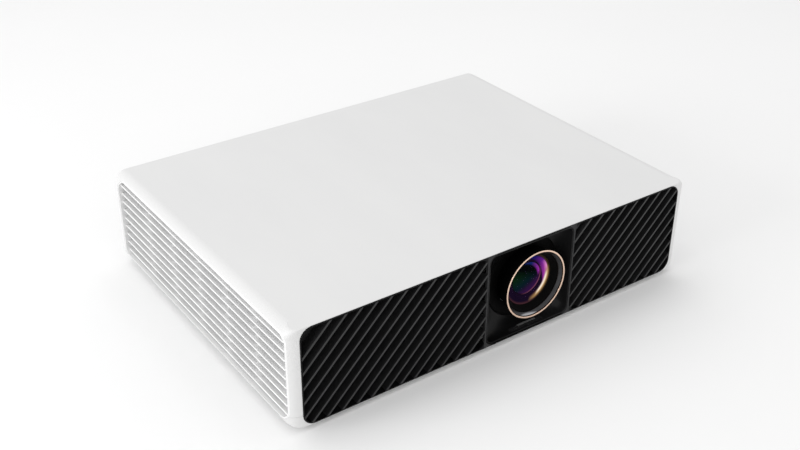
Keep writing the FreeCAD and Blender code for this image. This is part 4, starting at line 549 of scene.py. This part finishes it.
MATERIALS = {
    "white": moulded_plastic("white_shell", grey(0.72), (0.745, 0.745, 0.743), 0.42),
    "louvre": moulded_plastic("white_louvre", grey(0.83), (0.86, 0.86, 0.858), 0.45),
    "slat": moulded_plastic("slat_black", (0.011, 0.011, 0.0115), (0.015, 0.015, 0.0155), 0.42,
                            grain=0.0004, depth=0.2),
    "frame": frame_plastic("frame_black"),
    "black": moulded_plastic("black_moulding", grey(0.012), grey(0.022), 0.5),
    "gloss": moulded_plastic("piano_black", (0.004, 0.004, 0.0045), (0.006, 0.006, 0.0065), 0.12,
                             grain=0.002, depth=0.03, coat=1.0),
    "bezel": bezel_plastic("bezel_black"),
    "well": moulded_plastic("well_black", grey(0.001), grey(0.0015), 0.6, grain=0.001, depth=0.1,
                            specular=0.1),
    "bowl": bowl_painted_reflections("bowl_painted_reflections"),
    "rim": rim_painted_reflection("rim_painted_reflection"),
    "core": core_painted_reflections("core_painted_reflections"),
    "window": moulded_plastic("smoked_window", (0.024, 0.024, 0.025), (0.028, 0.028, 0.029), 0.25,
                              grain=0.002, depth=0.03),
    "pale_mark": moulded_plastic("status_bar", grey(0.19), grey(0.22), 0.4),
    "rose": plated_metal("rose_gold", (0.98, 0.72, 0.56), 0.2),
    "grey_cone": satin_cone_metal("grey_cone"),
    "hood": moulded_plastic("hood_black", grey(0.0012), grey(0.002), 0.6, grain=0.0005, depth=0.3,
                            specular=0.06),
    "alloy": cast_metal("cast_alloy", (0.56, 0.57, 0.58), 0.45),
    "steel": brushed_metal("zinc_steel", (0.62, 0.62, 0.63), 0.32, (1.0, 8.0, 8.0)),
    "brass": brushed_metal("brass", (0.78, 0.56, 0.28), 0.3, (8.0, 1.0, 8.0)),
    "copper": brushed_metal("copper_pipe", (0.80, 0.42, 0.26), 0.3, (8.0, 1.0, 8.0)),
    "ferrite": cast_metal("ferrite", (0.07, 0.07, 0.075), 0.6),
    "rubber": rubber("foot_rubber"),
    "board": circuit_board("circuit_board"),
    "foam": foam("filter_foam"),
    "acetal": moulded_plastic("acetal", (0.42, 0.42, 0.40), (0.5, 0.5, 0.48), 0.4),
    "paper": moulded_plastic("cone_paper", grey(0.02), grey(0.04), 0.75, grain=0.0008, depth=0.8),
    "glass": clear_front_glass("front_glass"),
    "mesh": perforated("perforated_sheet"),
    "label": brushed_metal("label_foil", (0.66, 0.66, 0.67), 0.4, (1.0, 12.0, 12.0)),
    "socket_black": moulded_plastic("socket_black", grey(0.012), grey(0.018), 0.45),
    "button_mark": moulded_plastic("button_mark", grey(0.5), grey(0.56), 0.45),
    "inner_glass": coated_glass("inner_glass", (0.85, 0.7, 1.0)),
}

NODE_MATERIALS = {
    "white": ["top_shell", "bottom_tray"],
    "louvre": ["louvre_left", "louvre_right"],
    "foam": ["dust_filters"],
    "frame": ["front_frame"],
    "slat": ["grille_left", "grille_right"],
    "mesh": ["grille_mesh"],
    "black": ["fan_frames", "fan_rotor_left", "fan_rotor_right", "board_chips", "power_parts",
              "audio_socket", "power_inlet", "button_switch", "rear_panel"],
    "gloss": ["lens_bezel", "power_button", "remote_window"],
    "rose": ["lens_ring"],
    "grey_cone": ["hood_cone"],
    "hood": ["lens_hood", "lens_carrier"],
    "glass": ["front_element"],
    "inner_glass": ["second_element", "rear_element", "imaging_prism", "light_tunnel", "phosphor_wheel"],
    "alloy": ["lens_barrel", "engine_housing", "chip_heat_sink", "laser_heat_sink", "radiator_fins"],
    "acetal": ["focus_ring"],
    "brass": ["motor_pinion", "laser_bank", "inlet_pins", "mount_inserts"],
    "copper": ["heat_pipes"],
    "steel": ["focus_motor", "wheel_motor", "speaker_baskets", "hdmi_sockets", "usb_sockets", "lan_socket",
              "foot_stud_left", "foot_stud_right", "case_screws"],
    "ferrite": ["speaker_magnets"],
    "paper": ["speaker_cone_left", "speaker_cone_right"],
    "board": ["chip_board", "main_board", "power_board"],
    "rubber": ["rear_feet", "foot_pad_left", "foot_pad_right"],
}


# ---------------------------------------------------------------------------
# Mesh helpers
# ---------------------------------------------------------------------------
BAR_STEPS = 6
TURNED_STEPS = 192
GLASS_ROWS = 40
ON_AXIS = 0.001


def bar(name, low, high, corner, material):
    """Thin bar with rounded corners in the XZ plane, between two points; corner is the rounding radius."""
    centres = ((high[0] - corner, high[2] - corner), (low[0] + corner, high[2] - corner),
               (low[0] + corner, low[2] + corner), (high[0] - corner, low[2] + corner))
    outline = []
    for quarter, (across, up) in enumerate(centres):
        for step in range(BAR_STEPS + 1):
            turn = math.radians(90 * quarter + 90 * step / BAR_STEPS)
            outline.append((across + corner * math.cos(turn), up + corner * math.sin(turn)))
    count = len(outline)
    vertices = [(x, low[1], z) for x, z in outline] + [(x, high[1], z) for x, z in outline]
    faces = [tuple(range(count)), tuple(range(2 * count - 1, count - 1, -1))]
    for index in range(count):
        follow = (index + 1) % count
        faces.append((index, index + count, follow + count, follow))
    return mesh_piece(name, vertices, faces, material, smooth=False)


def bar_flat(name, low, high, corner, material):
    """The same bar lying flat in the XY plane."""
    thing = bar(name, (low[0], -high[2], low[1]), (high[0], -low[2], high[1]), corner, material)
    for vertex in thing.data.vertices:
        x, y, z = vertex.co
        vertex.co = (x, z, -y)
    thing.data.update()
    return thing


def mesh_piece(name, vertices, faces, material, body="case", smooth=True):
    """Object made from vertices and faces, riding on a body."""
    mesh = bpy.data.meshes.new(name)
    mesh.from_pydata(vertices, [], faces)
    mesh.validate()
    if smooth:
        mesh.shade_smooth()
    mesh.materials.append(material)
    thing = bpy.data.objects.new(name, mesh)
    bpy.context.scene.collection.objects.link(thing)
    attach(thing, body)
    return thing


def lathe(name, profile, material, body="case", steps=TURNED_STEPS, closed=True, centre=None):
    """Turned piece; profile points are (radius, depth along Y from the centre) in mm.

    Without a centre it is turned round the lens axis, with depths behind the front plane.
    """
    middle = centre or (LENS_CENTRE[0], FRONT_PLANE, LENS_CENTRE[2])
    vertices = []
    for step in range(steps):
        turn = 2 * math.pi * step / steps
        for radius, depth in profile:
            vertices.append((middle[0] + radius * MM * math.cos(turn), middle[1] + depth * MM,
                             middle[2] + radius * MM * math.sin(turn)))
    count = len(profile)
    spans = count if closed else count - 1
    faces = []
    for step in range(steps):
        here, after = step * count, (step + 1) % steps * count
        for point in range(spans):
            follow = (point + 1) % count
            faces.append((here + point, here + follow, after + follow, after + point))
    return mesh_piece(name, vertices, faces, material, body)


def rounded(profile, radius, steps=5):
    """Profile with each corner replaced by a small arc of about the given radius."""
    result = []
    count = len(profile)
    for index, corner in enumerate(profile):
        before, after = profile[index - 1], profile[(index + 1) % count]
        corner = Vector(corner)
        into, out = Vector(before) - corner, Vector(after) - corner
        reach = min(radius, into.length * 0.45, out.length * 0.45)
        start, end = corner + into.normalized() * reach, corner + out.normalized() * reach
        for step in range(steps):
            part = step / (steps - 1)
            result.append(tuple(start * (1 - part) ** 2 + corner * 2 * part * (1 - part) + end * part ** 2))
    return result


def sphere_depth(across, apex, curve):
    """Depth of a convex glass face at a distance from the axis; curve is the radius of its sphere, in mm."""
    return apex + (curve - math.sqrt(curve * curve - across * across))


def dome(name, radius, apex, curve, material, body):
    """Convex glass face with its apex at a depth."""
    profile = []
    for row in range(GLASS_ROWS + 1):
        across = radius * row / GLASS_ROWS
        profile.append((max(across, ON_AXIS), sphere_depth(across, apex, curve)))
    return lathe(name, profile, material, body, closed=False)


def paint(thing, material):
    """Gives a carried-over CAD node its material."""
    thing.data.materials.clear()
    thing.data.materials.append(material)


for key, names in NODE_MATERIALS.items():
    for name in names:
        paint(NODES[name], MATERIALS[key])


# ---------------------------------------------------------------------------
# Lens: smooth turned pieces with the detail that the CAD solids leave out
# ---------------------------------------------------------------------------
# Radii and depths are in mm, the depths behind the front plane
RING_INNER = 27.5
RING_OUTER = 28.9
RING_PROUD = 0.6
RING_BACK = 0.28
CONE_OUTSIDE = 27.2
CONE_THROAT = 25.3
CONE_FRONT = 0.32
CONE_END = 2.6
CONE_BACK = 3.3
BAFFLE_GROOVES = 6
BAFFLE_START = (21.7, 8.2)
BAFFLE_SPREAD = 3.1
BAFFLE_RISE = 4.5
GROOVE_STEP = (0.30, 0.05)
FRONT_GLASS_RADIUS = 20.0
FRONT_GLASS_FACES = (5.2, 6.8)
CORE_RADIUS = 13.8
CORE_APEX = 9.3
GLASS_CURVE = 50.0


def make_ring_and_cone():
    ring_profile = [(RING_INNER, -RING_PROUD), (RING_OUTER, -RING_PROUD), (RING_OUTER, RING_BACK),
                    (RING_INNER, RING_BACK)]
    ring = lathe("rose_ring", rounded(ring_profile, 0.35), MATERIALS["rose"])
    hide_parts("lens_ring")
    cone_profile = [(RING_INNER, CONE_FRONT), (CONE_THROAT, CONE_END), (CONE_THROAT, CONE_BACK),
                    (CONE_OUTSIDE, CONE_BACK)]
    cone = lathe("satin_cone", rounded(cone_profile, 0.2), MATERIALS["grey_cone"])
    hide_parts("hood_cone")


def make_hood():
    """Black hood: a stepped outside and a row of fine baffle grooves inside."""
    outside = [(CONE_OUTSIDE, 0.36), (28.5, 0.36), (28.5, 3.6), (28.1, 3.9), (28.1, 4.5), (27.3, 5.2),
               (27.3, 8.0), (26.9, 8.3), (26.9, 8.8), (24.8, 9.5), (24.6, 17.9), (22.35, 17.9), (22.35, 8.7),
               (21.6, 8.3)]
    baffle = []
    for groove in range(BAFFLE_GROOVES):
        radius = BAFFLE_START[0] + BAFFLE_SPREAD * groove / BAFFLE_GROOVES
        depth = BAFFLE_START[1] - BAFFLE_RISE * groove / BAFFLE_GROOVES
        baffle.append((radius, depth))
        baffle.append((radius + GROOVE_STEP[0], depth - GROOVE_STEP[1]))
    behind_cone = [(25.0, 3.45), (CONE_OUTSIDE, 3.45)]
    hood = lathe("baffled_hood", rounded(outside + baffle + behind_cone, 0.12, 3), MATERIALS["hood"])
    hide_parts("lens_hood")


def make_glass():
    """Coated bowl, rim and middle lens, and the clear front element over them."""
    bowl_profile = [(21.2, 7.8), (20.3, 8.6), (18.5, 9.4), (16.4, 10.3), (14.3, 11.2), (14.3, 12.4),
                    (21.2, 12.4)]
    bowl = lathe("rear_bowl", rounded(bowl_profile, 0.3, 4), MATERIALS["bowl"], "lens_stage")
    rim_profile = [(14.4, 10.9), (14.4, 12.0), (13.5, 12.0), (13.6, 11.1), (14.1, 10.8)]
    rim = lathe("inner_rim", rounded(rim_profile, 0.1, 3), MATERIALS["rim"], "lens_stage")
    core = dome("core_dome", CORE_RADIUS, CORE_APEX, GLASS_CURVE, MATERIALS["core"], "lens_stage")
    outwards = [FRONT_GLASS_RADIUS * row / GLASS_ROWS + ON_AXIS for row in range(GLASS_ROWS + 1)]
    front_apex, back_apex = FRONT_GLASS_FACES
    front_face = [(across, sphere_depth(across, front_apex, GLASS_CURVE)) for across in reversed(outwards)]
    back_face = [(across, sphere_depth(across, back_apex, GLASS_CURVE)) for across in outwards]
    glass = lathe("front_glass", front_face + back_face, MATERIALS["glass"], "lens_stage")
    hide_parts("front_element")


# ---------------------------------------------------------------------------
# Bezel: a smooth funnel from the rounded mouth to the round well behind the lens
# ---------------------------------------------------------------------------
BEZEL_STEPS = 360
BEZEL_ROWS = 40
BEZEL_BEND = 2.6
BEZEL_WALL = 0.7 * MM
MOUTH_CORNER = 6.2 * MM
MOUTH_REACH = 200 * MM
HALVINGS = 40
WELL_RADIUS = 34.8 * MM
WELL_DEPTH = 15.8 * MM
LIP = 0.35 * MM


def in_mouth(x, z):
    """Whether a point of the front plane lies inside the bezel's rounded mouth."""
    over_x = max(BEZEL_LOW[0] + MOUTH_CORNER - x, x - (BEZEL_HIGH[0] - MOUTH_CORNER), 0.0)
    over_z = max(BEZEL_LOW[2] + MOUTH_CORNER - z, z - (BEZEL_HIGH[2] - MOUTH_CORNER), 0.0)
    return math.hypot(over_x, over_z) <= MOUTH_CORNER


def mouth_reach(turn):
    """Distance from the lens axis to the rounded mouth at an angle, found by halving."""
    near, far = 0.0, MOUTH_REACH
    for _ in range(HALVINGS):
        middle = (near + far) / 2
        if in_mouth(LENS_CENTRE[0] + math.cos(turn) * middle, LENS_CENTRE[2] + math.sin(turn) * middle):
            near = middle
        else:
            far = middle
    return near


def make_bezel():
    """Funnel that bends from the mouth to the round well, and the well's floor."""
    vertices, faces = [], []
    rows = BEZEL_ROWS + 1
    for step in range(BEZEL_STEPS):
        turn = 2 * math.pi * step / BEZEL_STEPS
        mouth = mouth_reach(turn) - LIP
        for row in range(rows):
            part = row / BEZEL_ROWS
            reach = mouth + (WELL_RADIUS - mouth) * part ** BEZEL_BEND
            vertices.append((LENS_CENTRE[0] + reach * math.cos(turn), BEZEL_LOW[1] + LIP + WELL_DEPTH * part,
                             LENS_CENTRE[2] + reach * math.sin(turn)))
        here, after = step * rows, (step + 1) % BEZEL_STEPS * rows
        for row in range(BEZEL_ROWS):
            faces.append((here + row, here + row + 1, after + row + 1, after + row))
    funnel = mesh_piece("bezel_funnel", vertices, faces, MATERIALS["bezel"])
    shell = funnel.modifiers.new("wall", "SOLIDIFY")
    shell.thickness = BEZEL_WALL
    shell.offset = -1.0
    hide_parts("lens_bezel")
    well_profile = [(34.9, 15.6), (34.9, 17.0), (25.0, 17.0), (25.0, 16.2)]
    well = lathe("bezel_well", rounded(well_profile, 0.1, 3), MATERIALS["well"])


# ---------------------------------------------------------------------------
# Small front pieces: the sensor window and the status bar on the bezel's ledge
# ---------------------------------------------------------------------------
LEDGE_HEIGHT = 1.3 * MM
WINDOW_THICKNESS = 0.15 * MM
STATUS_THICKNESS = 0.1 * MM
# Left, right, front and back edges; the last two are behind the front plane
WINDOW_EDGES = (8.0 * MM, 42.0 * MM, 2.2 * MM, 9.0 * MM)
STATUS_EDGES = (17.5 * MM, 35.5 * MM, 4.8 * MM, 6.6 * MM)


def flat_strip(name, edges, bottom, thickness, corner, material):
    """Thin strip lying on the ledge, between four edges."""
    left, right, front, back = edges
    low = (left, FRONT_PLANE + front, bottom)
    high = (right, FRONT_PLANE + back, bottom + thickness)
    return bar_flat(name, low, high, corner, material)


def make_front_strips():
    ledge = BEZEL_LOW[2] + LEDGE_HEIGHT
    window = flat_strip("sensor_window", WINDOW_EDGES, ledge, WINDOW_THICKNESS, 1.2 * MM, MATERIALS["window"])
    status = flat_strip("status_bar", STATUS_EDGES, ledge + WINDOW_THICKNESS, STATUS_THICKNESS, 0.5 * MM,
                        MATERIALS["pale_mark"])


# ---------------------------------------------------------------------------
# Rear and underside: socket linings and contacts, panel screws, the button's mark, a plain label
# ---------------------------------------------------------------------------
BOX_FACES = [(0, 1, 3, 2), (4, 6, 7, 5), (0, 4, 5, 1), (2, 3, 7, 6), (0, 2, 6, 4), (1, 5, 7, 3)]
CHAMFER_SHARE = 0.15


def block(name, low, high, material, body="case"):
    """Box between two corners, with small chamfers cut by a bevel modifier."""
    corners = [(x, y, z) for x in (low[0], high[0]) for y in (low[1], high[1]) for z in (low[2], high[2])]
    thing = mesh_piece(name, corners, BOX_FACES, material, body, smooth=False)
    bevel = thing.modifiers.new("edge", "BEVEL")
    bevel.width = min(high[axis] - low[axis] for axis in range(3)) * CHAMFER_SHARE
    bevel.segments = 2
    return thing


WELD_REACH = 1e-6


def corner_pair(points):
    """Lowest and highest corners of the box round some points."""
    return (tuple(min(point[axis] for point in points) for axis in range(3)),
            tuple(max(point[axis] for point in points) for axis in range(3)))


def solids(name):
    """Corner pairs of the loose parts of a CAD node, from left to right and then upwards."""
    builder = bmesh.new()
    builder.from_mesh(NODES[name].data)
    bmesh.ops.remove_doubles(builder, verts=builder.verts, dist=WELD_REACH)
    left_over = set(builder.verts)
    boxes = []
    while left_over:
        reached, waiting = [], [left_over.pop()]
        while waiting:
            vertex = waiting.pop()
            reached.append(NODES[name].matrix_world @ vertex.co)
            neighbours = {edge.other_vert(vertex) for edge in vertex.link_edges} & left_over
            left_over -= neighbours
            waiting += neighbours
        boxes.append(corner_pair(reached))
    builder.free()
    return sorted(boxes, key=lambda box: (round(box[0][0], 4), box[0][2]))


# Tongue of each kind of socket: half its width, its low and high faces over the shell's foot, how far in its
# back and its front end lie
TONGUES = {
    "hdmi_sockets": (5.1 * MM, 2.2 * MM, 3.6 * MM, 10.8 * MM, 1.9 * MM),
    "usb_sockets": (5.6 * MM, 3.3 * MM, 5.4 * MM, 13.8 * MM, 1.9 * MM),
}
LAN_CONTACTS = 8
LAN_PITCH = 1.02 * MM
LAN_HALF_CONTACT = 0.22 * MM
LAN_WALL = 1.2 * MM


def make_tongues():
    """Black plastic round the tongue in each metal socket."""
    for node, (half_width, low_face, high_face, back, front) in TONGUES.items():
        for number, (low, high) in enumerate(solids(node)):
            middle = (low[0] + high[0]) / 2
            tongue_low = (middle - half_width, high[1] - back, low[2] + low_face)
            tongue_high = (middle + half_width, high[1] - front, low[2] + high_face)
            name = "%s_tongue_%d" % (node, number)
            tongue = block(name, tongue_low, tongue_high, MATERIALS["socket_black"])


def make_lan_inside():
    """Black lining and gold springs in the network socket."""
    low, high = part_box("lan_socket")
    lining = block("lan_lining", (low[0] + LAN_WALL, high[1] - 12.2 * MM, low[2] + LAN_WALL),
                   (high[0] - LAN_WALL, high[1] - 11.6 * MM, high[2] - LAN_WALL), MATERIALS["socket_black"])
    for number in range(LAN_CONTACTS):
        across = (low[0] + high[0]) / 2 + (number - (LAN_CONTACTS - 1) / 2) * LAN_PITCH
        spring = block("lan_contact_%d" % number,
                       (across - LAN_HALF_CONTACT, high[1] - 11.0 * MM, high[2] - 2.4 * MM),
                       (across + LAN_HALF_CONTACT, high[1] - 2.5 * MM, high[2] - 2.1 * MM),
                       MATERIALS["brass"])


SCREW_INSET = 5 * MM
# Domed head with a ring groove round its drive recess
SCREW_PROFILE = [(ON_AXIS, 0.55), (1.2, 0.5), (1.25, 0.0), (1.5, 0.0), (1.6, 0.55), (2.4, 0.35), (2.7, 0.0),
                 (ON_AXIS, -0.2)]
SMALL_STEPS = 48


def make_rear_screws():
    low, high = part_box("rear_panel")
    for number, across in enumerate((low[0] + SCREW_INSET, high[0] - SCREW_INSET)):
        centre = (across, high[1], (low[2] + high[2]) / 2)
        screw = lathe("rear_screw_%d" % number, rounded(SCREW_PROFILE, 0.1, 3), MATERIALS["ferrite"],
                      steps=SMALL_STEPS, centre=centre)


MARK_PROFILE = [(2.3, -0.75), (2.3, 0.02), (2.8, 0.02), (2.8, -0.75)]
STEM_HALF_WIDTH = 0.25 * MM


def make_button_mark():
    """Plain ring with a short bar, raised on the button's face."""
    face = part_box("power_button")[1][1]
    middle = middle_of("power_button")
    ring = lathe("button_ring", rounded(MARK_PROFILE, 0.1, 3), MATERIALS["button_mark"], "button", steps=64,
                 centre=(middle[0], face, middle[2]))
    stem = block("button_stem", (middle[0] - STEM_HALF_WIDTH, face - 0.8 * MM, middle[2] + 0.6 * MM),
                 (middle[0] + STEM_HALF_WIDTH, face + 0.05 * MM, middle[2] + 3.6 * MM),
                 MATERIALS["button_mark"], "button")


LABEL_LOW = (-95 * MM, 66 * MM)
LABEL_HIGH = (-25 * MM, 104 * MM)
LABEL_PROUD = 0.12 * MM
LABEL_SUNK = 0.02 * MM
LABEL_CORNER = 2.0 * MM


def make_label():
    """Plain foil label under the case, without any text."""
    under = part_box("bottom_tray")[0][2]
    label = bar_flat("base_label", (*LABEL_LOW, under - LABEL_PROUD), (*LABEL_HIGH, under + LABEL_SUNK),
                     LABEL_CORNER, MATERIALS["label"])


# Width in mm of the small rounds on each node's sharp edges
SOFT_EDGES = {
    "rear_panel": 0.25, "power_inlet": 0.3, "lan_socket": 0.2, "front_frame": 0.15, "fan_frames": 0.3,
    "grille_left": 0.18, "grille_right": 0.18,
}
SHARP_ANGLE = math.radians(50)


def soften_edges():
    """Small rounds on the sharp edges of CAD pieces, by modifiers that leave their meshes alone."""
    for name, width in SOFT_EDGES.items():
        weld = NODES[name].modifiers.new("weld", "WELD")
        weld.merge_threshold = WELD_REACH
        bevel = NODES[name].modifiers.new("edge", "BEVEL")
        bevel.width = width * MM
        bevel.segments = 2
        bevel.limit_method = "ANGLE"
        bevel.angle_limit = SHARP_ANGLE


make_ring_and_cone()
make_hood()
make_glass()
make_bezel()
make_front_strips()
make_tongues()
make_lan_inside()
make_rear_screws()
make_button_mark()
make_label()
soften_edges()

make_camera()
make_studio()
